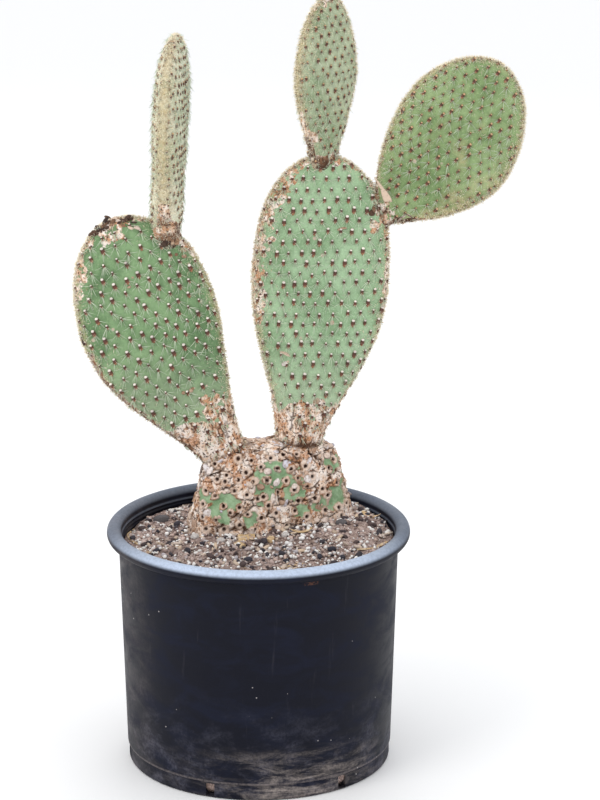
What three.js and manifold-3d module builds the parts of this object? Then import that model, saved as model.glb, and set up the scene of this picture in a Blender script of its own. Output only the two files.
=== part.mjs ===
// A paddle cactus (prickly pear) growing in a round nursery pot.
//
// Millimetres, +Z up.  The origin is the centre of the pot's underside, on the
// ground.  +X runs along the row of paddles, and -Y is the front.
//
// A thick old paddle stands in the soil as the trunk.  Two big paddles grow on
// its top edge, and three younger ones grow on their rims.  Each paddle is one
// solid: a sphere whose height is read as the way from base to tip, and whose
// cross-sections are flat ovals.  A child's base is cut to its parent's surface.

import * as THREE from 'three';
import { mergeVertices } from 'three/addons/utils/BufferGeometryUtils.js';
import Module from 'manifold-3d';

const wasm = await Module();
wasm.setup();

// ---------------------------------------------------------------- dimensions

const JOINT_GAP = 0.3; // between any two pieces that touch
const CUT_GAP = 0.4; // growth of a paddle where its neighbour is cut to it

const POT = {
  height: 241.7,
  mouthRadius: 138.4, // outside, just under the rim
  taper: 6.6, // how much narrower the side is just above the foot
  wall: 2.6,
  rimTube: 7.1, // radius of the rolled rim, whose inside is flush with the wall
  footHeight: 17,
  footInset: 1.4, // how far the foot stands back from the side
  footCorner: 3,
  footWidth: 9, // flat ring that the pot stands on
  floorLift: 5, // underside of the floor, between the ring and the pad
  floorThickness: 3,
  padRadius: 44, // flat pad in the middle of the underside
  ringCount: 3, // moulded rings inside, above the soil
  ringPitch: 4,
  ringDepth: 0.9,
  slotCount: 6,
  slotWidth: 9,
  slotHeight: 13,
  slotSill: 2,
  slotStart: -21, // degrees from the front
  segments: 48,
};

const SOIL = {
  headroom: 22.2, // from the pot's top down to the soil at its left and right
  slope: 0.03, // rise per millimetre towards the back
  mound: 8.5, // rise round the trunk
  moundReach: 70, // how far from the trunk the rise fades
  moundTilt: 0.5, // the mound is this much higher at the trunk's right end
  ripple: 0.9,
  rings: 8,
  wallDepth: 8, // depth below the surface where the soil meets the wall
};

const TRUNK = {
  turn: 15, // degrees about the vertical
  bearing: 76, // degrees from +X, from the pot's axis to the trunk's middle
  wallGap: 16, // from its right end to the inside of the pot
  above: 94.5, // height over the soil
  buried: 78, // depth of its root crown below the soil
  footHalf: 87, // half length at the soil
  topHalf: 64, // half length under the top edge
  crownHalf: 58, // half length of the buried end
  footThick: 70,
  topThick: 40,
  crownThick: 50,
  topRound: 28,
  crownRound: 30,
  around: 30,
  along: 18,
};

// Outlines: half is the widest half width, at is how far up it lies, swell
// shapes the flank below it, and neck is the half width of the base.
const PADDLES = {
  left_paddle: {
    parent: 'trunk',
    seat: { across: -0.766, drop: 5.1 },
    lean: -25.2, pitch: 5, twist: 8,
    length: 260.2, thick: 30, neckThick: 30,
    left: { half: 76.8, at: 0.54, swell: 1.34, neck: 26 },
    right: { half: 63.8, at: 0.7, swell: 1.67, neck: 22 },
    tipPower: 1.86,
    color: 0x8fb48c,
  },
  centre_paddle: {
    parent: 'trunk',
    seat: { across: 0.447, drop: 2.1 },
    lean: 5.5, pitch: -3, twist: 8,
    length: 287.7, thick: 34, neckThick: 32,
    left: { half: 62.9, at: 0.58, swell: 1.88, neck: 23.3 },
    right: { half: 73, at: 0.52, swell: 1.47, neck: 23.2 },
    tipPower: 2.7,
    color: 0x8fb893,
  },
  upper_left_paddle: {
    parent: 'left_paddle',
    seat: { along: 0.86, across: 0.86 },
    lean: 3.1, pitch: 0, twist: 84,
    length: 194.8, thick: 27, neckThick: 27,
    left: { half: 57, at: 0.66, swell: 1.3, neck: 14 },
    right: { half: 55, at: 0.66, swell: 1.3, neck: 14 },
    tipPower: 2.3,
    color: 0xb5c3a0,
  },
  crown_paddle: {
    parent: 'centre_paddle',
    seat: { along: 0.995, across: -0.3 },
    lean: 1.9, pitch: 0, twist: 40,
    length: 157.9, thick: 24, neckThick: 20,
    left: { half: 38, at: 0.52, swell: 1.3, neck: 15 },
    right: { half: 35, at: 0.52, swell: 1.4, neck: 16 },
    tipPower: 1.61,
    color: 0x93ad8b,
  },
  right_paddle: {
    parent: 'centre_paddle',
    seat: { along: 0.812, across: 1 },
    lean: 37.5, pitch: 5.6, twist: -8,
    length: 190, thick: 23, neckThick: 20,
    left: { half: 56.5, at: 0.64, swell: 0.85, neck: 12 },
    right: { half: 71.5, at: 0.53, swell: 0.85, neck: 12 },
    tipPower: 1.6,
    color: 0x86a36e,
  },
};

const PADDLE = {
  plug: 16, // depth to which a base reaches into its parent before it is cut
  fullAt: 0.42, // share of the length where the full thickness is reached
  sectionPower: 2.4, // 2 is an ellipse, more is boxier
  around: 24,
  along: 18,
};

const ROOTS = {
  count: 5,
  startDepth: 54, // below the soil, inside the trunk's flank
  endDepth: 130,
  wallGap: 28, // from a root's end to the inside of the pot
  sweep: 0.25, // radians that an end turns on from its start
  thick: 9, // radius at the trunk
  thin: 3,
  sides: 7,
  steps: 6,
};

// Loose pieces lying on the soil.  Those by the trunk are placed along it, as a
// share of its half length, and off its front face.  Those by the wall are
// placed by degrees from the trunk's right end, and in from the wall.  A turn
// is counted from +X by the trunk, and from the way out to the wall by the wall.
const CHIPS = [
  { name: 'wood_chip_1', along: -0.41, off: 7.5, long: 17, wide: 11, thick: 4, turn: 8, tilt: 24, color: 0xc9a878 },
  { name: 'wood_chip_2', along: -0.17, off: 19, long: 12, wide: 7, thick: 3.5, turn: 78, tilt: 8, color: 0xb9a78f },
  { name: 'wood_chip_3', along: -0.54, off: 27, long: 11, wide: 7, thick: 4, turn: -50, tilt: 10, color: 0xd8cdb8 },
];
const STONES = [
  { name: 'stone_1', along: 0.71, off: 13, long: 6.5, wide: 4.5, high: 3.6, turn: -15, color: 0x2c3444 },
  { name: 'stone_2', along: -0.7, off: 9, long: 4.6, wide: 3.6, high: 3, turn: 10, color: 0xe6e4e0 },
  { name: 'stone_3', along: 0.02, off: 13, long: 4.4, wide: 3.4, high: 3, turn: 30, color: 0xe3e1dd },
  { name: 'stone_4', bearing: 111, inset: 19, long: 9, wide: 6, high: 5, turn: 52, color: 0x6d6a6a },
  { name: 'stone_5', along: -0.96, off: 8, long: 5, wide: 4, high: 3.4, turn: 40, color: 0xdad6d0 },
];
const STRAWS = [
  { name: 'straw_1', bearing: 134, inset: 12, long: 44, bend: 9, turn: -73, color: 0xc7ad86 },
  { name: 'straw_2', bearing: 157, inset: 18, long: 26, bend: 3, turn: 170, color: 0xa98d6e },
  { name: 'straw_3', along: -0.09, off: 77, long: 32, bend: 2, turn: 30, color: 0xc8a982 },
];
const LEAVES = [
  { name: 'dry_leaf_1', along: 0.22, off: 11, long: 22, wide: 7, curl: 3.5, turn: 12, color: 0xbfa07c },
  { name: 'dry_leaf_2', bearing: -45, inset: 22, long: 38, wide: 6, curl: 2.5, turn: 46, color: 0xd9c2a0 },
  { name: 'dry_leaf_3', bearing: -12, inset: 12, long: 20, wide: 9, curl: 4, turn: -54, color: 0x8e6f56 },
];
const LITTER = {
  bedded: 0.45, // share of a loose piece's height that lies in the soil
  strawRadius: 1.1,
  leafThick: 1.2,
  steps: 6,
};

// ------------------------------------------------------------------- helpers

const radians = THREE.MathUtils.degToRad;

// Blend from a to b as t goes from 0 to 1, level at both ends.
const blend = (a, b, t) => THREE.MathUtils.lerp(a, b, THREE.MathUtils.smoothstep(t, 0, 1));

// A closed geometry as a solid for joining and cutting.
function solidOf(geometry) {
  const bare = geometry.clone();
  bare.deleteAttribute('normal');
  bare.deleteAttribute('uv');
  const merged = mergeVertices(bare, 1e-4);
  return new wasm.Manifold(new wasm.Mesh({
    numProp: 3,
    vertProperties: Float32Array.from(merged.attributes.position.array),
    triVerts: Uint32Array.from(merged.index.array),
  }));
}

function geometryOf(solid) {
  const { vertProperties, triVerts } = solid.getMesh();
  const geometry = new THREE.BufferGeometry();
  geometry.setAttribute('position', new THREE.BufferAttribute(vertProperties, 3));
  geometry.setIndex(new THREE.BufferAttribute(triVerts, 1));
  geometry.computeVertexNormals();
  return geometry;
}

// One geometry with others cut out of it, all given in the same frame.
function cut(geometry, tools) {
  const start = solidOf(geometry);
  return geometryOf(tools.reduce((solid, tool) => solid.subtract(solidOf(tool)), start));
}

// Move every vertex of a geometry to place(x, y, z).
function reshape(geometry, place) {
  const position = geometry.attributes.position;
  const point = new THREE.Vector3();
  for (let i = 0; i < position.count; i += 1) {
    point.fromBufferAttribute(position, i);
    place(point);
    position.setXYZ(i, point.x, point.y, point.z);
  }
  geometry.computeVertexNormals();
  return geometry;
}

// A flat oval: the point at an angle on a section with these half sizes.
function ovalPoint(angle, halfX, halfY, power) {
  const bend = (value) => Math.sign(value) * Math.abs(value) ** (2 / power);
  return [halfX * bend(Math.cos(angle)), halfY * bend(Math.sin(angle))];
}

// A sphere read as rows of sections: station(polar) gives the height and the
// half sizes at a polar angle that runs from 0 at the top to PI at the bottom.
function stackedOvals(around, along, power, station) {
  const sphere = new THREE.SphereGeometry(1, around, along).rotateX(Math.PI / 2);
  return reshape(sphere, (point) => {
    const polar = Math.acos(THREE.MathUtils.clamp(point.z, -1, 1));
    const angle = Math.atan2(point.y, point.x);
    const { height, left, right, thick } = station(polar);
    const [x, y] = ovalPoint(angle, point.x < 0 ? left : right, thick, power);
    point.set(x, y, height);
  });
}

function material(color, roughness) {
  return new THREE.MeshStandardMaterial({ color, roughness, metalness: 0 });
}

function addMesh(group, name, geometry, look, frame = new THREE.Matrix4()) {
  const mesh = new THREE.Mesh(geometry, look);
  mesh.name = name;
  mesh.applyMatrix4(frame);
  group.add(mesh);
  return mesh;
}

// ---------------------------------------------------------- shared positions

const underRim = POT.height - 2 * POT.rimTube;
const soilLevel = POT.height - SOIL.headroom;
const trunkTop = soilLevel + TRUNK.above;

// Radius of the pot's outside at a height above the foot.
function potRadius(height) {
  const share = (height - POT.footHeight) / (underRim - POT.footHeight);
  return POT.mouthRadius - POT.taper * (1 - share);
}

const innerRadius = (height) => potRadius(height) - POT.wall;

// The trunk's middle lies off the pot's axis, as far as its bearing and the gap
// at its right end put it.
function trunkOffset() {
  const along = Math.cos(radians(TRUNK.bearing - TRUNK.turn)) * TRUNK.footHalf;
  const across = Math.sin(radians(TRUNK.bearing - TRUNK.turn)) * TRUNK.footHalf;
  return Math.sqrt((innerRadius(soilLevel) - TRUNK.wallGap) ** 2 - across ** 2) - along;
}

// --------------------------------------------------------------------- trunk

const trunkFrame = new THREE.Matrix4()
  .makeRotationZ(radians(TRUNK.turn))
  .setPosition(
    trunkOffset() * Math.cos(radians(TRUNK.bearing)),
    trunkOffset() * Math.sin(radians(TRUNK.bearing)),
    0,
  );

// Half length and half thickness of the trunk at a height: widest at the
// soil, tapering to the top edge and to the buried end, both rounded off.
function trunkSection(height, grow) {
  const bottom = soilLevel - TRUNK.buried;
  const up = (height - soilLevel) / (trunkTop - soilLevel);
  const down = (soilLevel - height) / TRUNK.buried;
  const ends = up >= 0
    ? [TRUNK.footHalf, TRUNK.topHalf, TRUNK.footThick, TRUNK.topThick, up]
    : [TRUNK.footHalf, TRUNK.crownHalf, TRUNK.footThick, TRUNK.crownThick, down ** 2];
  const [longFrom, longTo, thickFrom, thickTo, t] = ends;
  const topFade = Math.max(0, (height - (trunkTop - TRUNK.topRound)) / TRUNK.topRound);
  const bottomFade = Math.max(0, (bottom + TRUNK.crownRound - height) / TRUNK.crownRound);
  const closing = (fade) => Math.max(0, 1 - Math.min(1, fade) ** 4) ** (1 / 3);
  const round = closing(topFade) * closing(bottomFade);
  const half = THREE.MathUtils.lerp(longFrom, longTo, t) * round + (round > 0 ? grow : 0);
  const thick = (THREE.MathUtils.lerp(thickFrom, thickTo, t) / 2) * round + (round > 0 ? grow : 0);
  return { left: half, right: half, thick };
}

function trunkGeometry(grow = 0) {
  const bottom = soilLevel - TRUNK.buried;
  return stackedOvals(TRUNK.around, TRUNK.along, PADDLE.sectionPower, (polar) => {
    const share = (1 - Math.cos(polar)) / 2;
    const height = THREE.MathUtils.lerp(trunkTop, bottom, share);
    const grown = THREE.MathUtils.lerp(trunkTop + grow, bottom - grow, share);
    return { height: grown, ...trunkSection(height, grow) };
  });
}

// ------------------------------------------------------------------- paddles

// Half width of one side of a paddle, a share of the way from base to tip.
function outline(side, tipPower, share) {
  if (share < side.at) {
    const turn = (Math.PI / 2) * ((side.at - Math.max(share, 0)) / side.at);
    return side.neck + (side.half - side.neck) * Math.cos(turn) ** side.swell;
  }
  const past = (Math.min(share, 1) - side.at) / (1 - side.at);
  return side.half * Math.sqrt(Math.max(0, 1 - past ** tipPower));
}

function halfThickness(paddle, share) {
  const widest = Math.max(paddle.left.at, paddle.right.at);
  const body = blend(paddle.neckThick, paddle.thick, share / PADDLE.fullAt) / 2;
  const past = Math.max(0, (Math.min(share, 1) - widest) / (1 - widest));
  return body * Math.sqrt(Math.max(0, 1 - past ** paddle.tipPower));
}

// The plug below the base keeps the neck's size and closes with a round end.
function paddleGeometry(paddle, grow = 0) {
  const plug = PADDLE.plug / paddle.length;
  return stackedOvals(PADDLE.around, PADDLE.along, PADDLE.sectionPower, (polar) => {
    const fromTip = (1 - Math.cos(polar)) / 2;
    const share = THREE.MathUtils.lerp(1, -plug, fromTip);
    const below = Math.min(1, Math.max(0, -share / plug));
    const close = Math.sqrt(1 - below ** 3);
    const wider = share < 1 && below < 1 ? grow : 0;
    return {
      height: THREE.MathUtils.lerp(paddle.length + grow, -PADDLE.plug - grow, fromTip),
      left: outline(paddle.left, paddle.tipPower, share) * close + wider,
      right: outline(paddle.right, paddle.tipPower, share) * close + wider,
      thick: halfThickness(paddle, share) * close + wider,
    };
  });
}

// A paddle's seat, in its parent's frame.
function seatPoint(paddle) {
  const { seat, parent } = paddle;
  if (parent === 'trunk') {
    return new THREE.Vector3(seat.across * TRUNK.topHalf, 0, trunkTop - seat.drop);
  }
  const on = PADDLES[parent];
  const side = seat.across < 0 ? on.left : on.right;
  const half = outline(side, on.tipPower, seat.along);
  return new THREE.Vector3(seat.across * half, 0, seat.along * on.length);
}

// World frame of a paddle: base at the seat, +Z to the tip, +X to its right.
function paddleFrame(paddle) {
  const parentFrame = paddle.parent === 'trunk' ? trunkFrame : paddleFrame(PADDLES[paddle.parent]);
  const base = seatPoint(paddle).applyMatrix4(parentFrame);
  return new THREE.Matrix4()
    .makeRotationY(radians(paddle.lean))
    .multiply(new THREE.Matrix4().makeRotationX(radians(paddle.pitch)))
    .multiply(new THREE.Matrix4().makeRotationZ(radians(paddle.twist)))
    .setPosition(base);
}

function addPaddle(group, name, paddle) {
  const frame = paddleFrame(paddle);
  const onTrunk = paddle.parent === 'trunk';
  const parentFrame = onTrunk ? trunkFrame : paddleFrame(PADDLES[paddle.parent]);
  const parent = onTrunk ? trunkGeometry(CUT_GAP) : paddleGeometry(PADDLES[paddle.parent], CUT_GAP);
  parent.applyMatrix4(frame.clone().invert().multiply(parentFrame));
  const geometry = cut(paddleGeometry(paddle), [parent]);
  addMesh(group, name, geometry, material(paddle.color, 0.75), frame);
}

// ----------------------------------------------------------------------- pot

function arc(x, y, radius, from, to, steps) {
  return Array.from({ length: steps + 1 }, (_, i) => {
    const angle = radians(THREE.MathUtils.lerp(from, to, i / steps));
    return new THREE.Vector2(x + radius * Math.cos(angle), y + radius * Math.sin(angle));
  });
}

function potGeometry() {
  const corner = (x, y) => new THREE.Vector2(x, y);
  const rimX = POT.mouthRadius - POT.wall + POT.rimTube;
  const rimY = POT.height - POT.rimTube;
  const footRadius = potRadius(POT.footHeight);
  const footSide = footRadius - POT.footInset;
  const footInner = footSide - POT.footCorner - POT.footWidth;
  const floorTop = POT.floorLift + POT.floorThickness;
  const slope = POT.floorLift;
  const rings = [];
  for (let i = POT.ringCount - 1; i >= 0; i -= 1) {
    const y = soilLevel + POT.ringPitch * (i + 0.6);
    const r = innerRadius(y);
    const half = POT.ringPitch / 4;
    rings.push(corner(r, y + half), corner(r - POT.ringDepth, y), corner(r, y - half));
  }
  const profile = [
    corner(0, 0),
    corner(POT.padRadius, 0),
    corner(POT.padRadius + slope, POT.floorLift),
    corner(footInner - slope / 2, POT.floorLift),
    corner(footInner, 0),
    ...arc(footSide - POT.footCorner, POT.footCorner, POT.footCorner, -90, 0, 3),
    corner(footSide, POT.footHeight - POT.footInset / 2),
    corner(footRadius, POT.footHeight),
    corner(POT.mouthRadius, underRim),
    ...arc(rimX, rimY, POT.rimTube, -90, 180, 9),
    ...rings,
    corner(innerRadius(floorTop), floorTop),
    corner(POT.padRadius + slope, floorTop),
    corner(POT.padRadius, POT.floorThickness),
    corner(0, POT.floorThickness),
  ];
  return new THREE.LatheGeometry(profile, POT.segments).rotateX(Math.PI / 2);
}

// Drainage slots: each goes through the side just under the foot's step, and
// through the ring, so water leaves from above and below the floor.
function slotTools() {
  const depth = POT.footWidth + 2 * POT.footCorner + 4 * POT.wall;
  const middle = potRadius(POT.footHeight) - depth / 2 + 2 * POT.wall;
  return Array.from({ length: POT.slotCount }, (_, i) => {
    const angle = radians(POT.slotStart + (360 / POT.slotCount) * i);
    return new THREE.BoxGeometry(POT.slotWidth, depth, POT.slotHeight)
      .translate(0, -middle, POT.slotSill + POT.slotHeight / 2)
      .rotateZ(angle);
  });
}

// ---------------------------------------------------------------------- soil

const toTrunk = trunkFrame.clone().invert();

// Height of the soil: it rises towards the back and is mounded round the
// trunk, with small ripples between.
function soilHeight(x, y) {
  const local = new THREE.Vector3(x, y, 0).applyMatrix4(toTrunk);
  const beyondX = Math.max(0, Math.abs(local.x) - TRUNK.footHalf * 0.8);
  const beyondY = Math.max(0, Math.abs(local.y) - TRUNK.footThick / 2);
  const near = Math.exp(-((Math.hypot(beyondX, beyondY) / SOIL.moundReach) ** 2) * 2);
  const tilt = 1 + SOIL.moundTilt * THREE.MathUtils.clamp(local.x / TRUNK.footHalf, -1, 1);
  const ripple = Math.sin(x * 0.11 + 1) * Math.cos(y * 0.13) + Math.sin((x - 2 * y) * 0.07);
  return soilLevel + SOIL.slope * y + SOIL.mound * near * tilt + SOIL.ripple * ripple;
}

function soilGeometry() {
  const low = POT.floorLift + POT.floorThickness + JOINT_GAP;
  const padTop = POT.floorThickness + JOINT_GAP;
  const wall = (height) => innerRadius(height) - JOINT_GAP;
  const topRadius = innerRadius(soilLevel) - POT.ringDepth - JOINT_GAP;
  const profile = [
    new THREE.Vector2(0, padTop),
    new THREE.Vector2(POT.padRadius - 2, padTop),
    new THREE.Vector2(POT.padRadius + POT.floorLift, low),
    new THREE.Vector2(wall(low) - 1, low),
  ];
  const shoulder = soilLevel - SOIL.wallDepth;
  for (const height of [low + 1, (low + shoulder) / 2, shoulder]) {
    profile.push(new THREE.Vector2(wall(height), height));
  }
  profile.push(new THREE.Vector2(topRadius, soilLevel));
  for (let i = SOIL.rings - 1; i >= 0; i -= 1) {
    profile.push(new THREE.Vector2((topRadius * i) / SOIL.rings, soilLevel));
  }
  const body = new THREE.LatheGeometry(profile, POT.segments).rotateX(Math.PI / 2);
  return reshape(body, (point) => {
    if (point.z > soilLevel - 1e-3) point.z = soilHeight(point.x, point.y);
  });
}

// --------------------------------------------------------------------- roots

// A round rod along a curve, thick at its start and thin at its end.
function taperedRod(curve, startRadius, endRadius, sides, steps) {
  const frames = curve.computeFrenetFrames(steps, false);
  const rod = new THREE.CylinderGeometry(1, 1, 1, sides, steps);
  return reshape(rod, (point) => {
    const share = 0.5 - point.y;
    const row = Math.round(share * steps);
    const radius = THREE.MathUtils.lerp(startRadius, endRadius, share);
    const sideways = frames.normals[row].clone().multiplyScalar(point.x * radius);
    const upwards = frames.binormals[row].clone().multiplyScalar(point.z * radius);
    point.copy(curve.getPointAt(share)).add(sideways).add(upwards);
  });
}

function rootCurve(index) {
  const angle = radians((360 / ROOTS.count) * (index + 0.4));
  const flank = new THREE.Vector3(
    Math.cos(angle) * TRUNK.crownHalf * 0.6,
    Math.sin(angle) * TRUNK.crownThick * 0.3,
    soilLevel - ROOTS.startDepth,
  ).applyMatrix4(trunkFrame);
  const endHeight = soilLevel - ROOTS.endDepth;
  const reach = innerRadius(endHeight) - ROOTS.wallGap;
  const end = new THREE.Vector3(
    Math.cos(angle + ROOTS.sweep) * reach,
    Math.sin(angle + ROOTS.sweep) * reach,
    endHeight,
  );
  const middle = flank.clone().lerp(end, 0.5);
  middle.z = THREE.MathUtils.lerp(flank.z, end.z, 0.25);
  return new THREE.QuadraticBezierCurve3(flank, middle, end);
}

function rootGeometry(index, grow = 0) {
  const { thick, thin, sides, steps } = ROOTS;
  return taperedRod(rootCurve(index), thick + grow, thin + grow, sides, steps);
}

// -------------------------------------------------------------------- litter

// The trunk's right end, seen from the pot's axis.
const trunkEnd = new THREE.Vector3(TRUNK.footHalf, 0, 0).applyMatrix4(trunkFrame);
const endBearing = Math.atan2(trunkEnd.y, trunkEnd.x);

// Frame of the place where a loose piece lies, at height 0, turned with it.
function litterSpot(piece) {
  if (piece.inset === undefined) {
    const share = Math.min(1, Math.abs(piece.along)) ** PADDLE.sectionPower;
    const face = (TRUNK.footThick / 2) * (1 - share) ** (1 / PADDLE.sectionPower);
    const spot = new THREE.Vector3(piece.along * TRUNK.footHalf, -face - piece.off, 0);
    return new THREE.Matrix4()
      .makeRotationZ(radians(piece.turn))
      .setPosition(spot.applyMatrix4(trunkFrame));
  }
  const angle = endBearing + radians(piece.bearing);
  const reach = innerRadius(soilLevel) - piece.inset;
  return new THREE.Matrix4()
    .makeRotationZ(angle + radians(piece.turn))
    .setPosition(reach * Math.cos(angle), reach * Math.sin(angle), 0);
}

// Frame of a loose piece: on the soil, sunk by its bedded share.
function litterFrame(piece, high, tilt = 0) {
  const spot = litterSpot(piece);
  const at = new THREE.Vector3().setFromMatrixPosition(spot);
  const lift = soilHeight(at.x, at.y) + high * (0.5 - LITTER.bedded);
  return new THREE.Matrix4()
    .makeTranslation(0, 0, lift)
    .multiply(spot)
    .multiply(new THREE.Matrix4().makeRotationX(radians(tilt)));
}

function chipGeometry(chip, grow = 0) {
  return new THREE.BoxGeometry(chip.long + 2 * grow, chip.wide + 2 * grow, chip.thick + 2 * grow)
    .applyMatrix4(litterFrame(chip, chip.thick, chip.tilt));
}

function stoneGeometry(stone, grow = 0) {
  return new THREE.IcosahedronGeometry(1, 1)
    .scale(stone.long + grow, stone.wide + grow, stone.high + grow)
    .applyMatrix4(litterFrame(stone, stone.high * 2));
}

// A straw lies in a flat bow and follows the soil under it.
function strawGeometry(straw, grow = 0) {
  const radius = LITTER.strawRadius;
  const flat = litterSpot(straw);
  const points = [-0.5, -0.25, 0, 0.25, 0.5].map((along) => {
    const sag = straw.bend * (1 - 4 * along ** 2);
    const point = new THREE.Vector3(along * (straw.long + 2 * grow), sag, 0).applyMatrix4(flat);
    point.z = soilHeight(point.x, point.y) + radius * (1 - 2 * LITTER.bedded);
    return point;
  });
  const path = new THREE.CatmullRomCurve3(points);
  return taperedRod(path, radius + grow, radius + grow, 6, LITTER.steps);
}

// A dry leaf: a narrow plate whose ends curl up.
function leafGeometry(leaf, grow = 0) {
  const thick = LITTER.leafThick + 2 * grow;
  const plate = new THREE.BoxGeometry(leaf.long + 2 * grow, leaf.wide + 2 * grow, thick, LITTER.steps, 2, 1);
  const frame = litterFrame(leaf, LITTER.leafThick);
  return reshape(plate, (point) => {
    const along = (2 * point.x) / leaf.long;
    point.z += leaf.curl * along ** 2;
    point.y *= 1 - 0.55 * along ** 2;
  }).applyMatrix4(frame);
}

const litter = [
  ...CHIPS.map((piece) => ({ piece, shape: chipGeometry })),
  ...STONES.map((piece) => ({ piece, shape: stoneGeometry })),
  ...STRAWS.map((piece) => ({ piece, shape: strawGeometry })),
  ...LEAVES.map((piece) => ({ piece, shape: leafGeometry })),
];

// ------------------------------------------------------------------- assembly

const cactus = new THREE.Group();

addMesh(cactus, 'pot', cut(potGeometry(), slotTools()), material(0x262830, 0.5));

const rootIndexes = Array.from({ length: ROOTS.count }, (_, i) => i);
const trunkWorld = (grow) => trunkGeometry(grow).applyMatrix4(trunkFrame);
const soilTools = [
  trunkWorld(CUT_GAP),
  ...rootIndexes.map((i) => rootGeometry(i, CUT_GAP)),
  ...litter.map(({ piece, shape }) => shape(piece, CUT_GAP)),
];
addMesh(cactus, 'soil', cut(soilGeometry(), soilTools), material(0x5a4a40, 0.95));

addMesh(cactus, 'trunk', trunkGeometry(), material(0xa8977f, 0.85), trunkFrame);
for (const [name, paddle] of Object.entries(PADDLES)) {
  addPaddle(cactus, name, paddle);
}

for (const i of rootIndexes) {
  const geometry = cut(rootGeometry(i), [trunkWorld(CUT_GAP)]);
  addMesh(cactus, `root_${i + 1}`, geometry, material(0x8a6d52, 0.9));
}

for (const { piece, shape } of litter) {
  addMesh(cactus, piece.name, shape(piece), material(piece.color, 0.85));
}

export default cactus;
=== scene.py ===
"""A potted paddle cactus, built over its CAD frame as a small add-on.

Every piece is a surface worked out with numpy in millimetres: a skin of flat
ovals carried along the middle line of its CAD node, a turned profile, or a
small shape repeated over a skin.  Run as a script it makes the whole plant.
"""
import math

import bpy
import numpy as np
from bpy.props import FloatProperty, FloatVectorProperty, IntProperty, PointerProperty
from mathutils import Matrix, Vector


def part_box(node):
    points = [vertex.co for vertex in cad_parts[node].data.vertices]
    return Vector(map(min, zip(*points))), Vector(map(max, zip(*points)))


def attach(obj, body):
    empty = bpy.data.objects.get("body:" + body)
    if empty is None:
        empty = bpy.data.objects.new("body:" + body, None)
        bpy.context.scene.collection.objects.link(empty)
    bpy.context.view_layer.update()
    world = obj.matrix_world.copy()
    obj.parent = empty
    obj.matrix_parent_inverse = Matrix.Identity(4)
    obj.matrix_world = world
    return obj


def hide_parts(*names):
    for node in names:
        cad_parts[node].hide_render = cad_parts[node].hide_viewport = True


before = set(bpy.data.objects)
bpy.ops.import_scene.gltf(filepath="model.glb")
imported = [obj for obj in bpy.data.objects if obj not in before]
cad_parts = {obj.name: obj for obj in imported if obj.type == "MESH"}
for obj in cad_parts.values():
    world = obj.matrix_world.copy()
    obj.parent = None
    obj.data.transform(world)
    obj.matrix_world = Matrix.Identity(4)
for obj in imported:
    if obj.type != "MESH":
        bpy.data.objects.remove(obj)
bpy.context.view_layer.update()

MM = 0.001
NEAREST_AT_ONCE = 1500000  # pairs of points measured in one go
BIG_NECK = 30  # length of neck on a paddle of the trunk, in millimetres
YOUNG_NECK = 22  # and on a younger paddle
NECK_SINK = 4  # how far a neck is carried into its parent, in millimetres
NECK_FIT = 16  # length of paddle that a neck's lines are fitted to, in millimetres
NEAR_CAD = 0.9  # how far a neck may stand off its node, in millimetres
DRAW_ABOVE = 7  # how far above its neck a skin is still drawn in, in millimetres
TRUNK_TURN = math.radians(15)  # how far the trunk is turned about its height
TRUNK_HALF = (87, 35)  # half its length and thickness at the soil, in millimetres
BARK_BELOW = 16  # how far the trunk's bark reaches below the soil, in millimetres
SOIL_BELOW_RIM = 22.2  # from the rim's top to the soil, in millimetres

bl_info = {
    "name": "Potted paddle cactus",
    "version": (1, 0, 0),
    "blender": (4, 5, 0),
    "location": "3D View > Sidebar > Cactus",
    "description": "Makes the skins, spines, pot and soil of a potted paddle cactus",
    "category": "Add Mesh",
}


def display(red, green, blue):
    """A colour as shown, 0 to 255, turned into the linear values of a material."""
    values = np.array([red, green, blue]) / 255
    low, high = values / 12.92, ((values + 0.055) / 1.055) ** 2.4
    return tuple(float(v) for v in np.where(values <= 0.04045, low, high))


def length(name, text, value, low=0.0):
    """A size in metres, given in millimetres."""
    return FloatProperty(
        name=name, description=text, default=value * MM, min=low, unit="LENGTH", precision=5
    )


def colour(name, text, *shown):
    """A colour property, given as it shows."""
    return FloatVectorProperty(
        name=name,
        description=text,
        default=display(*shown),
        size=3,
        min=0.0,
        max=1.0,
        subtype="COLOR",
    )


class CactusSizes(bpy.types.PropertyGroup):
    """Spacing of the skins' points, and sizes of spines, hairs and tufts"""

    skin_pitch: length("Skin pitch", "Spacing of the points on a paddle's skin", 1.3)
    trunk_pitch: length("Trunk pitch", "Spacing of the points on the trunk", 1.0)
    spine_length: length("Spine length", "Longest of the white spines", 13.5)
    spine_width: length("Spine width", "Thickness of a white spine at its root", 0.5)
    hair_length: length("Hair length", "Longest of the hairs along the edges", 4.3)
    hair_width: length("Hair width", "Thickness of a hair at its root", 0.4)
    tuft_width: length("Tuft width", "Width of a bristle tuft on the big paddles", 3.6)


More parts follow.
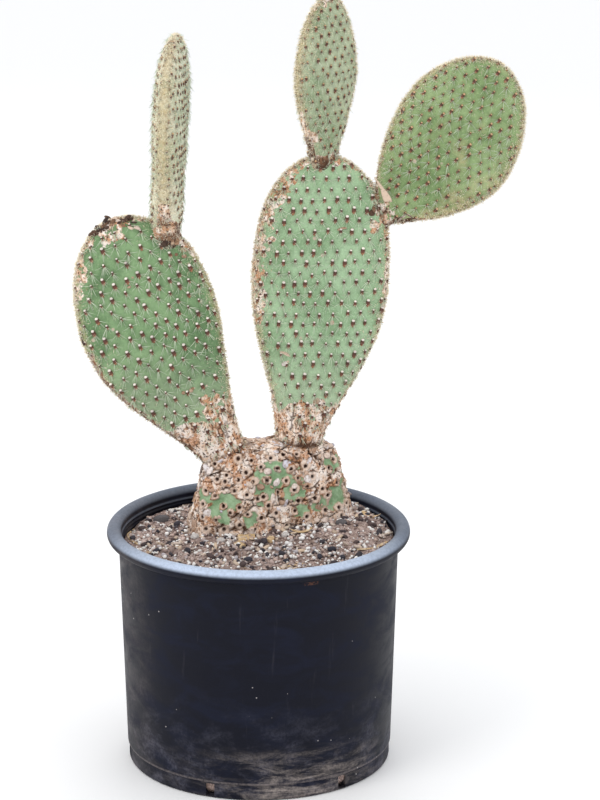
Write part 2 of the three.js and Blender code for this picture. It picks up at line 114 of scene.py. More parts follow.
class CactusColours(bpy.types.PropertyGroup):
    """Colours of the plant, as they show in full light"""

    sage: colour("Sage", "Lit skin of the centre paddle", 162, 190, 152)
    sage_deep: colour("Deep sage", "Darker skin of the centre paddle", 128, 158, 118)
    left: colour("Left green", "Lit skin of the left paddle", 130, 160, 115)
    left_deep: colour("Deep left green", "Darker skin of the left paddle", 88, 120, 78)
    olive: colour("Olive", "Skin of the right paddle", 146, 168, 118)
    olive_deep: colour("Deep olive", "Darker skin of the right paddle", 108, 134, 84)
    pale: colour("Pale green", "Skin of the young upper paddles", 184, 194, 162)
    young: colour("Young skin", "Skin of the upper left paddle", 234, 230, 210)
    young_deep: colour("Deep young skin", "Its darker skin", 172, 184, 148)
    pale_deep: colour("Deep pale green", "Darker skin of the upper paddles", 132, 152, 116)
    edge: colour("Edge tan", "Dry skin along the paddles' edges", 200, 182, 140)
    cork: colour("Cork", "Bark on the trunk and the necks", 226, 192, 164)
    cork_grey: colour("Grey cork", "Bleached bark", 246, 233, 222)
    # Also the colour of the painted shade where a paddle meets its parent.
    crevice: colour("Crevice", "Cracks in the bark", 84, 58, 42)
    tuft: colour("Tuft brown", "Middle of a bristle tuft", 104, 60, 44)
    tuft_pale: colour("Tuft cap", "Upper side of a bristle tuft", 246, 236, 226)
    spine: colour("Spine", "White spines", 216, 227, 202)
    hair: colour("Hair", "Golden hairs along the edges", 250, 240, 214)


class PotSizes(bpy.types.PropertyGroup):
    """Sizes of the pot and its drainage slots"""

    mouth_radius: length("Mouth radius", "Outside, just under the rim", 138.4)
    taper: length("Taper", "How much narrower the side is above the foot", 6.6)
    wall: length("Wall", "Thickness of the side", 2.6)
    rim_tube: length("Rim roll", "Radius of the rolled rim", 7.1)
    foot_height: length("Foot height", "Height of the step round the foot", 17)
    foot_inset: length("Foot inset", "How far the foot stands back", 1.4)
    slot_width: length("Slot width", "Width of a drainage slot", 9)
    slot_height: length("Slot height", "Height of a drainage slot", 13)
    slot_sill: length("Slot sill", "Height of a slot's lower edge", 2)
    slot_count: IntProperty(
        name="Slots", description="Drainage slots round the foot", default=6, min=1
    )
    slot_start: FloatProperty(
        name="First slot",
        description="Where the first slot is, from the front",
        default=math.radians(-21),
        subtype="ANGLE",
    )


class PotColours(bpy.types.PropertyGroup):
    """Colours of the pot, the soil and what lies on it"""

    plastic: colour("Plastic", "Dark moulded plastic", 13, 15, 27)
    # Sun bleach on the rim's top, with a painted sheen that is brightest at the front.
    bleach_and_painted_sheen: colour("Bleached plastic", "Top of the rim, bleached by the sun", 190, 203, 224)
    dust: colour("Dust", "Dried soil on the pot", 176, 164, 156)
    soil: colour("Soil", "Potting soil", 202, 180, 172)
    soil_dark: colour("Dark soil", "Damp soil between the crumbs", 104, 84, 78)
    perlite: colour("Perlite", "White grains in the soil", 226, 222, 218)
    chip: colour("Wood chip", "Chips and dry straw", 214, 182, 138)


# ------------------------------------------------------------------- numbers


def lattice_value(i, j, k, seed):
    """A fixed random number from 0 to 1 for every cell of a cubic lattice."""
    mixed = (i * 374761393 + j * 668265263 + k * 1440662683 + seed * 974634777) & 0xFFFFFFFF
    mixed = ((mixed ^ (mixed >> 13)) * 1274126177) & 0xFFFFFFFF
    mixed = ((mixed ^ (mixed >> 15)) * 668265261) & 0xFFFFFFFF
    return (mixed ^ (mixed >> 16)) / 0xFFFFFFFF


def wavy(points, size, seed, octaves=3):
    """Smooth noise, about -1 to 1: lattice values blended along each axis by
    s*s*(3 - 2*s), each octave half the size and half the height of the last."""
    total, height, sum_of_heights = 0.0, 1.0, 0.0
    for octave in range(octaves):
        place = points * (2**octave / size) + 31.7 * octave
        whole = np.floor(place).astype(np.int64)
        part = place - whole
        ease = part * part * (3 - 2 * part)
        value = 0.0
        for corner in range(8):
            step = np.array([corner & 1, corner >> 1 & 1, corner >> 2])
            weight = np.prod(np.where(step, ease, 1 - ease), axis=-1)
            at = whole + step
            value = value + weight * lattice_value(at[..., 0], at[..., 1], at[..., 2], seed + octave)
        total = total + height * (2 * value - 1)
        sum_of_heights += height
        height /= 2
    return total / sum_of_heights * 1.6


def cells(points, size, seed):
    """Cell noise: one seed point in each lattice cell.  Gives the distance to
    the nearest, the gap to the second nearest, both over the size, and a
    random number that is the same all over a cell."""
    place = points / size
    whole = np.floor(place).astype(np.int64)
    first = np.full(points.shape[:-1], 9.0)
    second, number = first.copy(), np.zeros_like(first)
    for step in np.ndindex(3, 3, 3):
        cell = whole + np.array(step) - 1
        i, j, k = cell[..., 0], cell[..., 1], cell[..., 2]
        seat = np.stack([lattice_value(i, j, k, seed + n) for n in (1, 2, 3)], axis=-1)
        away = np.linalg.norm(cell + seat - place, axis=-1)
        closer = away < first
        second = np.where(closer, first, np.minimum(second, away))
        number = np.where(closer, lattice_value(i, j, k, seed + 4), number)
        first = np.where(closer, away, first)
    return first, second - first, number


def rise(values, low, high):
    """0 below low, 1 above high, and s*s*(3 - 2*s) between."""
    share = np.clip((values - low) / (high - low), 0, 1)
    return share * share * (3 - 2 * share)


def unit(vectors):
    """Each vector divided by its own length."""
    return vectors / np.maximum(np.linalg.norm(vectors, axis=-1, keepdims=True), 1e-9)


def dot(a, b):
    """Products of the vectors in pairs, kept as a last axis of one."""
    return np.sum(a * b, axis=-1, keepdims=True)


def crosses(corner):
    """Outward vectors of triangles, as long as twice their areas."""
    return np.cross(corner[:, 1] - corner[:, 0], corner[:, 2] - corner[:, 0])


def full_turn(count):
    """Angles spaced evenly round a full turn."""
    return np.arange(count) / count * 2 * math.pi


def rings(radius, turn, height):
    """Points (radius*cos turn, radius*sin turn, height), a ring to a row."""
    radius, turn, height = np.broadcast_arrays(radius, turn, height)
    return np.stack([radius * np.cos(turn), radius * np.sin(turn), height], -1)


def cosine_steps(low, high, count):
    """Heights from low to high, closest together at both ends."""
    return low + (high - low) * (1 - np.cos(np.linspace(0, math.pi, count))) / 2


def box_place(node, shares):
    """A place in millimetres, given in shares of a node's box."""
    low, high = (np.array(corner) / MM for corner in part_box(node))
    return low + (high - low) * shares


def nearest(points, others):
    """Distance from every point to the nearest of the others, and its index."""
    flat = points.reshape(-1, 3)
    away, index = np.empty(len(flat)), np.empty(len(flat), int)
    run = max(1, NEAREST_AT_ONCE // len(others))
    for start in range(0, len(flat), run):
        part = flat[start : start + run]
        square = (
            (part**2).sum(1)[:, None] + (others**2).sum(1)[None] - 2 * part @ others.T
        )
        index[start : start + run] = square.argmin(1)
        away[start : start + run] = np.sqrt(np.maximum(square.min(1), 0))
    return away.reshape(points.shape[:-1]), index.reshape(points.shape[:-1])


# -------------------------------------------------------------------- meshes


def make_piece(name, points, quads, tris, material, layers=None, palette=None):
    """A mesh object from arrays, in millimetres, riding on the plant's body."""
    quads = np.asarray(quads, np.int64).reshape(-1, 4)
    tris = np.asarray(tris, np.int64).reshape(-1, 3)
    corners = np.concatenate([quads.ravel(), tris.ravel()])
    counts = np.concatenate([np.full(len(quads), 4), np.full(len(tris), 3)])
    mesh = bpy.data.meshes.new(name)
    mesh.vertices.add(len(points))
    mesh.vertices.foreach_set("co", (np.asarray(points) * MM).astype(np.float32).ravel())
    mesh.loops.add(len(corners))
    mesh.loops.foreach_set("vertex_index", corners.astype(np.int32))
    mesh.polygons.add(len(counts))
    starts = np.concatenate([[0], np.cumsum(counts)[:-1]])
    mesh.polygons.foreach_set("loop_start", starts.astype(np.int32))
    mesh.update(calc_edges=True)
    mesh.shade_smooth()
    for key, values in (layers or {}).items():
        layer = mesh.attributes.new(key, "FLOAT", "POINT")
        layer.data.foreach_set("value", np.asarray(values, np.float32))
    if palette is not None:
        uv = mesh.uv_layers.new(name="OFBake")
        uv.data.foreach_set("uv", palette[corners].astype(np.float32).ravel())
    mesh.materials.append(material)
    return add_object(name, mesh)


def add_object(name, mesh):
    """Puts a mesh in the scene and ties it to the plant's body."""
    piece = bpy.data.objects.new(name, mesh)
    bpy.context.scene.collection.objects.link(piece)
    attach(piece, "root")
    return piece


def ring_faces(rows, columns):
    """Quads of a grid whose last column joins its first, and the fans that
    close its first and last rows on two poles, which follow the grid's points."""
    r, c = np.meshgrid(np.arange(rows - 1), np.arange(columns), indexing="ij")
    n = (c + 1) % columns
    this, above = r * columns, (r + 1) * columns
    quads = np.stack([this + c, this + n, above + n, above + c], -1)
    column = np.arange(columns)
    after = (column + 1) % columns
    first_pole, last_pole, top = rows * columns, rows * columns + 1, (rows - 1) * columns
    low_fan = np.stack([np.full(columns, first_pole), after, column], -1)
    high_fan = np.stack([np.full(columns, last_pole), top + column, top + after], -1)
    return quads.reshape(-1, 4), np.concatenate([low_fan, high_fan])


class Skin:
    """A closed skin over a CAD node: rows of flat ovals along its middle line.

    A point is middle(row) + half_width(row)*bend(cos a)*wide +
    half_depth(row)*bend(sin a)*deep, where bend(v) keeps v's sign and raises
    its size to 2/power.  Middle and half sizes are measured on the node, cut
    across its long axis at stations spaced by a cosine, then smoothed."""

    STATIONS = 82  # cuts measured along a node
    FINE_STATIONS = 601  # heights at which the measured table is smoothed
    SMOOTHING = 11  # spread of the smoothing, in fine stations
    REACH = 36  # how far the smoothing looks each way, in fine stations

    def __init__(self, node, pitch, upright=False, power=2.4, skip=0.0, sink=0.0, floor=None):
        """Points stand a pitch apart.  An upright skin keeps its long axis
        vertical.  skip is the length of neck that isn't measured and sink how
        far it is carried down into its parent.  floor is where an open-bottomed
        node is cut off."""
        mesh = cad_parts[node].data
        mesh.calc_loop_triangles()
        co = np.empty(len(mesh.vertices) * 3)
        mesh.vertices.foreach_get("co", co)
        co = co.reshape(-1, 3) / MM
        tri = np.empty(len(mesh.loop_triangles) * 3, np.int32)
        mesh.loop_triangles.foreach_get("vertices", tri)
        corner = co[tri.reshape(-1, 3)]
        self.frame_axes(corner, upright)
        local = (corner - self.origin) @ self.axes.T
        start, end = local.reshape(-1, 3), np.roll(local, -1, axis=1).reshape(-1, 3)
        low, high = local[..., 2].min(), local[..., 2].max()
        if floor is not None:
            low = floor - self.origin[2]
        heights = cosine_steps(low, high, self.STATIONS)
        inner = [self.cut(start, end, h) for h in heights[1:-1]]
        table = np.array([inner[0], *inner, inner[-1]])
        table[-1, 2:] = 0
        if skip:
            heights, table = self.neck(heights, table, low - sink, low + skip)
        elif floor is None:
            table[0, 2:] = 0
        self.closed = floor is None and not skip
        self.rows_along(heights, table, pitch)
        self.around(pitch, power)
        self.build(power)
        self.drawn = np.zeros(self.points.shape[:2])
        if skip:
            top = low + skip + DRAW_ABOVE
            self.draw_in(corner[local[..., 2].min(axis=1) < top + 2], top)

    @staticmethod
    def neck(heights, table, bottom, start):
        """The neck is hollowed by the cut that seats it, so below its start the
        measured rows give way to straight lines fitted just above."""
        kept = heights >= start
        near = kept & (heights <= start + NECK_FIT)
        extra = np.linspace(bottom, start, 12)[:-1]
        lines = [np.polyfit(heights[near], table[near, n], 1) for n in range(4)]
        added = np.stack([np.polyval(line, extra) for line in lines], -1)
        added[:, 2:] = np.maximum(added[:, 2:], table[kept][0, 2:] * 0.8)
        return np.concatenate([extra, heights[kept]]), np.concatenate([added, table[kept]])

    def draw_in(self, corner, below):
        """Points under a height that lie outside the node are brought back to
        it: each loses its height over the face with the nearest sample, and then
        comes within NEAR_CAD of the nearest sample."""
        share = np.linspace(0, 1, 9)
        a, b = (g.ravel() for g in np.meshgrid(share, share))
        inner = a + b <= 1.0001
        a, b = a[inner, None], b[inner, None]
        first, second, third = (corner[:, None, n] for n in range(3))
        samples = (first * (1 - a - b) + second * a + third * b).reshape(-1, 3)
        facing = np.repeat(unit(crosses(corner)), len(a), axis=0)
        rows = self.height < below
        points = np.concatenate([self.points[rows].reshape(-1, 3), self.poles[:1]])
        _, index = nearest(points, samples)
        over = np.maximum(dot(points - samples[index], facing[index]), 0)
        points = points - over * facing[index]
        away, index = nearest(points, samples)
        share = np.minimum(1, NEAR_CAD / np.maximum(away, 1e-6))[:, None]
        points = samples[index] + (points - samples[index]) * share
        before = self.points[rows]
        self.points[rows] = points[:-1].reshape(before.shape)
        self.poles[0] = points[-1]
        moved = np.linalg.norm(self.points[rows] - before, axis=-1)
        self.drawn[rows] = rise(moved, 0.6, 2.0)
        self.find_normals()

    def frame_axes(self, corner, upright):
        """Middle and axes: longest spread is up, least spread is deep."""
        area = np.linalg.norm(crosses(corner), axis=1)
        spot = corner.mean(axis=1)
        self.origin = (spot * area[:, None]).sum(0) / area.sum()
        spread = spot - self.origin
        if upright:
            spread = spread * [1, 1, 0]
        _, vectors = np.linalg.eigh(spread.T @ (spread * area[:, None]))
        up = np.array([0.0, 0, 1]) if upright else vectors[:, 2]
        deep = vectors[:, 1] if upright else vectors[:, 0]
        up = up * (1 if up[2] >= 0 else -1)
        deep = deep * (1 if deep @ [0.3, 1, 0.1] >= 0 else -1)
        self.axes = np.array([np.cross(deep, up), deep, up])

    def cut(self, start, end, height):
        """Middle and half sizes, across and through, of the cut at a height."""
        crossing = (start[:, 2] - height) * (end[:, 2] - height) < 0
        a, b = start[crossing], end[crossing]
        on = a + (b - a) * ((height - a[:, 2]) / (b[:, 2] - a[:, 2]))[:, None]
        low, high = on.min(0), on.max(0)
        return [*((low + high) / 2)[:2], *((high - low) / 2)[:2]]

    def rows_along(self, heights, table, pitch):
        """Smooths the measured table and spaces the rows evenly on its side."""
        dense = cosine_steps(heights[0], heights[-1], self.FINE_STATIONS)
        values = np.stack([np.interp(dense, heights, table[:, n]) for n in range(4)], -1)
        reach = self.REACH
        kernel = np.exp(-0.5 * (np.arange(-reach, reach + 1) / self.SMOOTHING) ** 2)
        kernel /= kernel.sum()
        before = 2 * values[0] - values[reach:0:-1]
        after = 2 * values[-1] - values[-2 : -2 - reach : -1]
        padded = np.concatenate([before, values, after])
        smooth = np.stack([np.convolve(padded[:, n], kernel, "valid") for n in range(4)], -1)
        smooth[:, 2:] = np.maximum(smooth[:, 2:], 0)
        run = np.hypot(np.diff(dense), np.diff(smooth[:, 2]))
        along = np.concatenate([[0], np.cumsum(run)])
        count = max(8, int(round(along[-1] / pitch)))
        edges = (np.arange(count) + 0.5) / count * along[-1]
        if not self.closed:
            edges = np.arange(count) / count * along[-1]
        self.height = np.interp(edges, along, dense)
        self.size = np.stack([np.interp(edges, along, smooth[:, n]) for n in range(4)], -1)
        self.ends = [(dense[0], *smooth[0, :2]), (dense[-1], *smooth[-1, :2])]
        self.share = edges / along[-1]

    def around(self, pitch, power):
        """Angles that space the columns evenly round the widest row."""
        widest = self.size[self.size[:, 2].argmax()]
        a = np.linspace(0, 2 * math.pi, 4001)
        x, y = self.oval(a, widest[2], widest[3], power)
        along = np.concatenate([[0], np.cumsum(np.hypot(np.diff(x), np.diff(y)))])
        count = max(12, int(round(along[-1] / pitch / 4)) * 4)
        self.angle = np.interp(np.arange(count) / count * along[-1], along, a)

    @staticmethod
    def oval(angle, wide, deep, power):
        """Points of a flat oval: wide*bend(cos a) and deep*bend(sin a)."""

        def bend(value):
            """Keeps the sign and raises the size to 2/power."""
            return np.sign(value) * np.abs(value) ** (2 / power)

        return wide * bend(np.cos(angle)), deep * bend(np.sin(angle))

    def build(self, power):
        """Puts every row's oval in place and adds the two poles."""
        self.power = power
        x, y = self.oval(self.angle[None], self.size[:, 2:3], self.size[:, 3:4], power)
        height = np.broadcast_to(self.height[:, None], x.shape)
        local = np.stack([x + self.size[:, 0:1], y + self.size[:, 1:2], height], -1)
        self.points = local @ self.axes + self.origin
        self.poles = [np.array([w, d, h]) @ self.axes + self.origin for h, w, d in self.ends]
        self.find_normals()

    def find_normals(self):
        """Outward normals: the cross product of the steps round and along."""
        across = np.roll(self.points, -1, 1) - np.roll(self.points, 1, 1)
        along = np.gradient(self.points, axis=0)
        self.normals = unit(np.cross(across, along))

    def move(self, heights):
        """Moves every point along its normal, and the upper pole with them."""
        self.points = self.points + self.normals * heights[..., None]
        self.poles[1] = self.poles[1] + unit(self.normals[-1].mean(0)) * heights[-1].mean()
        self.find_normals()

    def spot(self, row, column):
        """Point and normal between the grid's rows and columns."""
        rows, columns = self.points.shape[:2]
        row = np.clip(row, 0, rows - 1.001)
        r, c = np.floor(row).astype(int), np.floor(column).astype(int)
        u, v = (row - r)[:, None], (column - c)[:, None]
        c0, c1 = c % columns, (c + 1) % columns
        found = []
        for field in (self.points, self.normals):
            low = field[r, c0] * (1 - v) + field[r, c1] * v
            high = field[r + 1, c0] * (1 - v) + field[r + 1, c1] * v
            found.append(low * (1 - u) + high * u)
        return found[0], unit(found[1])

    def spot_value(self, field, row, column):
        """A layer's value at the nearest row and column."""
        r = np.clip(np.round(row).astype(int), 0, field.shape[0] - 1)
        return field[r, np.round(column).astype(int) % field.shape[1]]

    def column(self, angle):
        """Column number, with its fraction, of an angle round the skin."""
        table = np.append(self.angle, 2 * math.pi)
        return np.interp(np.mod(angle, 2 * math.pi), table, np.arange(len(table)))

    def row_of(self, height):
        """Row number, with its fraction, of a height."""
        return np.interp(height, self.height, np.arange(len(self.height)))

    def face_rows(self, across, height, back):
        """Row and column of points on a face, given across and along it."""
        row = self.row_of(height)
        r = np.clip(np.round(row).astype(int), 0, len(self.height) - 1)
        share = np.clip((across - self.size[r, 0]) / np.maximum(self.size[r, 2], 1e-6), -1, 1)
        angle = np.arccos(np.sign(share) * np.abs(share) ** (self.power / 2))
        return row, self.column(angle if back else 2 * math.pi - angle)

    def to_piece(self, name, material, layers):
        """The skin as a mesh object, its layers carried over its poles."""
        quads, tris = ring_faces(*self.points.shape[:2])
        points = np.concatenate([self.points.reshape(-1, 3), self.poles])
        filled = {
            key: np.concatenate([values.ravel(), [values[0].mean(), values[-1].mean()]])
            for key, values in layers.items()
        }
        return make_piece(name, points, quads, tris, material, filled)


def lump(around, rows, rough=0.0, seed=0):
    """A closed rounded lump of size 1: a sphere whose radius is 1 + noise,
    flat where it would reach under -1."""
    polar = np.linspace(math.pi, 0, rows + 2)[1:-1]
    ring = rings(np.sin(polar)[:, None], full_turn(around), np.cos(polar)[:, None]).reshape(-1, 3)
    points = np.concatenate([ring, [[0, 0, -1], [0, 0, 1]]])
    if rough:
        points = points * (1 + rough * wavy(points + 7.3 * seed, 1.1, seed, 1))[:, None]
    points[:, 2] = np.maximum(points[:, 2], -1)
    quads, tris = ring_faces(rows, around)
    return points, quads, tris


def rod(steps, bow, thick, sides=3):
    """A thin closed spike of length 1 up the third axis: its middle bows by
    bow*z*z, and its radius falls as 1 - z*z*z."""
    z = np.linspace(0, 1, steps + 1)[:-1, None]
    ring = rings(thick / 2 * (1 - z**3), full_turn(sides), z)
    ring[..., 0] += bow * z**2
    ring = ring.reshape(-1, 3)
    points = np.concatenate([ring, [[0, 0, -0.01], [bow, 0, 1]]])
    quads, tris = ring_faces(steps, sides)
    return points, quads, tris


def join(parts):
    """Several (points, quads, tris) as one."""
    shift, points, quads, tris = 0, [], [], []
    for p, q, t in parts:
        points.append(p)
        quads.append(q + shift)
        tris.append(t + shift)
        shift += len(p)
    return np.concatenate(points), np.concatenate(quads), np.concatenate(tris)


def repeat(shape, places, axes, sizes, tones, tone_of=None):
    """Copies of a small shape.  A copy's point is place + x*size_x*side +
    y*size_y*front + z*size_z*out.  Its palette place is (tone, tone_of)."""
    points, quads, tris = shape
    count, each = len(places), len(points)
    side, front, out = axes
    scaled = points[None] * sizes[:, None, :]
    moved = (
        places[:, None]
        + scaled[..., 0:1] * side[:, None]
        + scaled[..., 1:2] * front[:, None]
        + scaled[..., 2:3] * out[:, None]
    )
    shift = (np.arange(count) * each)[:, None, None]
    if tone_of is None:
        tone_of = np.clip(points[:, 2] * 0.5 + 0.5, 0, 1)
    palette = np.stack(np.broadcast_arrays(tones[:, None], tone_of[None]), -1)
    return (
        moved.reshape(-1, 3),
        (quads[None] + shift).reshape(-1, 4),
        (tris[None] + shift).reshape(-1, 3),
        0.02 + 0.96 * palette.reshape(-1, 2),
    )


def spikes(random, shape, places, axes, reach):
    """Copies of one rod, each with its own length and a random tone."""
    sizes = reach[:, None].repeat(3, 1)
    return repeat(shape, places, axes, sizes, random.random(len(reach)), shape[0][:, 2])


def make_swarm(name, swarms, material):
    """One piece from several calls of repeat."""
    points, quads, tris = join([s[:3] for s in swarms])
    palette = np.concatenate([s[3] for s in swarms])
    return make_piece(name, points, quads, tris, material, None, palette)


def axes_on(normals, up):
    """Side, up and out directions on a skin, the up as near as it can be."""
    front = up - dot(up, normals) * normals
    weak = np.linalg.norm(front, axis=1, keepdims=True) < 0.05
    other = np.cross(normals, [0.31, 0.87, 0.38])
    front = unit(np.where(weak, other, front))
    return np.cross(front, normals), front, normals


def axes_to(directions, bow):
    """Axes whose third is the direction and whose first leans to the bow."""
    out = unit(directions)
    side = unit(bow - dot(bow, out) * out + 1e-6)
    return side, np.cross(out, side), out


# ----------------------------------------------------------------- materials


class Finish:
    """A node material, filled one node at a time and ended in one shader."""

    def __init__(self, name, roughness=0.6, **shader):
        self.material = bpy.data.materials.new(name)
        self.material.use_nodes = True
        self.tree = self.material.node_tree
        self.tree.nodes.clear()
        self.shader = self.add("ShaderNodeBsdfPrincipled", Roughness=roughness, **shader)
        output = self.add("ShaderNodeOutputMaterial")
        self.tree.links.new(self.shader.outputs["BSDF"], output.inputs["Surface"])
        self.place = self.add("ShaderNodeTexCoord").outputs["Object"]

    def add(self, kind, settings=None, **inputs):
        """A new node, its settings made and its inputs linked or set."""
        node = self.tree.nodes.new(kind)
        for key, value in (settings or {}).items():
            setattr(node, key, value)
        for key, value in inputs.items():
            self.set(node.inputs[key.replace("_", " ")], value)
        return node

    def set(self, socket, value):
        """Links an output to a socket, or gives the socket a number or colour."""
        if isinstance(value, bpy.types.NodeSocket):
            self.tree.links.new(value, socket)
        elif isinstance(socket.default_value, float) or np.isscalar(value):
            socket.default_value = value
        else:
            size = len(socket.default_value)
            socket.default_value = [*tuple(value)[:3], 1.0][:size]

    def mapped(self, scale=(1, 1, 1), turn=(0, 0, 0)):
        """The piece's place, scaled and turned: a scale under 1 draws a
        pattern out along that axis."""
        return self.add(
            "ShaderNodeMapping", Vector=self.place, Scale=scale, Rotation=turn
        ).outputs["Vector"]

    def noise(self, size, detail=3.0, place=None, rough=0.55, bend=0.0):
        """Noise from 0 to 1 whose features are about this many millimetres."""
        return self.add(
            "ShaderNodeTexNoise",
            Vector=place or self.place,
            Scale=1000 / size,
            Detail=detail,
            Roughness=rough,
            Distortion=bend,
        ).outputs["Fac"]

    def cell(self, size, place=None):
        """Distance from the middle of the nearest cell, in shares of its size."""
        return self.add(
            "ShaderNodeTexVoronoi", Vector=place or self.place, Scale=1000 / size
        ).outputs["Distance"]

    def step(self, value, low, high, start=0.0, end=1.0):
        """start below low, end above high, and an eased step between."""
        node = self.add(
            "ShaderNodeMapRange", {"interpolation_type": "SMOOTHSTEP"}, Value=value
        )
        limits = {"From Min": low, "From Max": high, "To Min": start, "To Max": end}
        for key, number in limits.items():
            node.inputs[key].default_value = number
        return node.outputs["Result"]

    def math(self, operation, a, b=0.0):
        node = self.add("ShaderNodeMath", {"operation": operation})
        self.set(node.inputs[0], a)
        self.set(node.inputs[1], b)
        return node.outputs[0]

    def times(self, product, *others):
        """The product of two or more values."""
        for value in others:
            product = self.math("MULTIPLY", product, value)
        return product

    def within(self, value, middle, outer, inner, start=0.0):
        """1 within inner of the middle, and falls to start at outer."""
        away = self.math("ABSOLUTE", self.math("SUBTRACT", value, middle))
        return self.step(away, outer, inner, start, 1.0)

    def mix(self, share, a, b, blend="MIX"):
        """Colour a where share is 0 and b where it is 1."""
        node = self.add("ShaderNodeMix", {"data_type": "RGBA", "blend_type": blend})
        for index, value in ((0, share), (6, a), (7, b)):
            self.set(node.inputs[index], value)
        return node.outputs[2]

    def layer(self, name):
        """A value from 0 to 1 kept on the skin's own points."""
        return self.add("ShaderNodeAttribute", {"attribute_name": name}).outputs["Fac"]

    def palette(self):
        """Tone and place along of a repeated shape, from its own UV map."""
        uv = self.add("ShaderNodeUVMap", {"uv_map": "OFBake"}).outputs["UV"]
        parts = self.add("ShaderNodeSeparateXYZ", Vector=uv)
        return parts.outputs["X"], parts.outputs["Y"]

    def ramp(self, value, *stops):
        """A colour from stops, each a place from 0 to 1 and its colour."""
        node = self.add("ShaderNodeValToRGB", Fac=value)
        points = node.color_ramp.elements
        while len(points) < len(stops):
            points.new(0.5)
        for element, (place, tone) in zip(points, stops):
            element.position = place
            element.color = (*tuple(tone)[:3], 1.0)
        return node.outputs["Color"]

    def bump(self, height, depth, strength=1.0):
        """Relief of a depth in millimetres, for looks only."""
        node = self.add("ShaderNodeBump", Height=height, Strength=strength, Distance=depth * MM)
        return node.outputs["Normal"]

    def end(self, base, normal=None, roughness=None):
        """Links what the shader needs and hands the material over."""
        self.set(self.shader.inputs["Base Color"], base)
        if normal is not None:
            self.set(self.shader.inputs["Normal"], normal)
        if roughness is not None:
            self.set(self.shader.inputs["Roughness"], roughness)
        return self.material


def darker(tone, share):
    """A colour multiplied by a share, which may be over 1 for a lighter one."""
    return tuple(v * share for v in tone)


def bark_colour(n, c, tall=0.45):
    """Tan and bleached bark in upright streaks, with brown and dark specks."""
    place = n.mapped((1, 1, tall))
    streak = n.noise(6, 5, place=place, rough=0.7, bend=0.4)
    grain = n.noise(2.4, 4, rough=0.7)
    tone = n.mix(n.step(streak, 0.42, 0.56), c.cork, c.cork_grey)
    tone = n.mix(n.step(n.noise(13, 4, rough=0.65), 0.5, 0.58, 0, 0.85), tone, display(196, 138, 94))
    tone = n.mix(n.step(streak, 0.44, 0.35, 0, 0.95), tone, display(112, 76, 54))
    tone = n.mix(n.step(grain, 0.465, 0.385, 0, 1.0), tone, display(70, 44, 32))
    tone = n.mix(n.step(grain, 0.58, 0.7, 0, 0.8), tone, display(250, 242, 234))
    pits = n.step(n.cell(3.4, place=place), 0.17, 0.08, 0, 0.75)
    return n.mix(pits, tone, display(84, 56, 42)), grain


def paddle_finish(name, c, light, deep, warm=0.25):
    """Waxy green skin: broad light and deep patches, pale specks, painted light
    that makes the skin paler low down, a browner edge, dark rings round the
    tufts, and bark where the layer says so."""
    n = Finish(name, 0.62, Specular_IOR_Level=0.35, Subsurface_Weight=0.0)
    broad = n.noise(48, 3)
    mottle = n.noise(9, 4, rough=0.6)
    speck = n.noise(1.6, 3, rough=0.7)
    height = n.add("ShaderNodeSeparateXYZ", Vector=n.place).outputs["Z"]
    green = n.mix(n.step(broad, 0.35, 0.65), deep, light)
    # Painted light: below about 0.43 m the skin is made paler, lifting the shade on the paddles' lower
    # parts.
    green = n.mix(n.step(height, 0.43, 0.34, 0, 0.5), green, display(182, 190, 164))
    green = n.mix(n.step(mottle, 0.35, 0.7, 0, 0.35), green, darker(light, 1.18))
    green = n.mix(n.step(mottle, 0.45, 0.25, 0, 0.35), green, darker(deep, 0.8))
    green = n.mix(n.step(speck, 0.52, 0.7, 0, 0.6), green, darker(light, 1.38))
    green = n.mix(n.step(speck, 0.46, 0.3, 0, 0.45), green, darker(deep, 0.66))
    scab = n.step(n.cell(21), 0.12, 0.07)
    green = n.mix(n.times(scab, n.step(n.noise(30), 0.5, 0.56)), green, display(196, 180, 160))
    dust = n.times(n.layer("edge"), n.step(n.noise(4, 4), 0.3, 0.65, 0.35, 1.0))
    green = n.mix(dust, green, c.edge)
    halo = n.times(n.layer("halo"), n.step(speck, 0.2, 0.7, 0.55, 1.0))
    green = n.mix(halo, green, n.mix(warm, darker(deep, 0.55), display(120, 92, 66)))
    bark, grain = bark_colour(n, c)
    # The crevice layer also paints shade where the paddle meets its parent.
    bark = n.mix(n.layer("crevice"), bark, c.crevice)
    fray = n.step(n.noise(6, 5, rough=0.65), 0.3, 0.7, -0.3, 0.3)
    cork = n.step(n.math("ADD", n.layer("cork"), fray), 0.42, 0.56)
    base = n.mix(cork, green, bark)
    relief = n.math("ADD", n.times(speck, 0.25), n.times(grain, cork, 1.2))
    rough = n.step(cork, 0, 1, 0.55, 0.9)
    return n.end(base, n.bump(relief, 0.5, 0.8), rough)


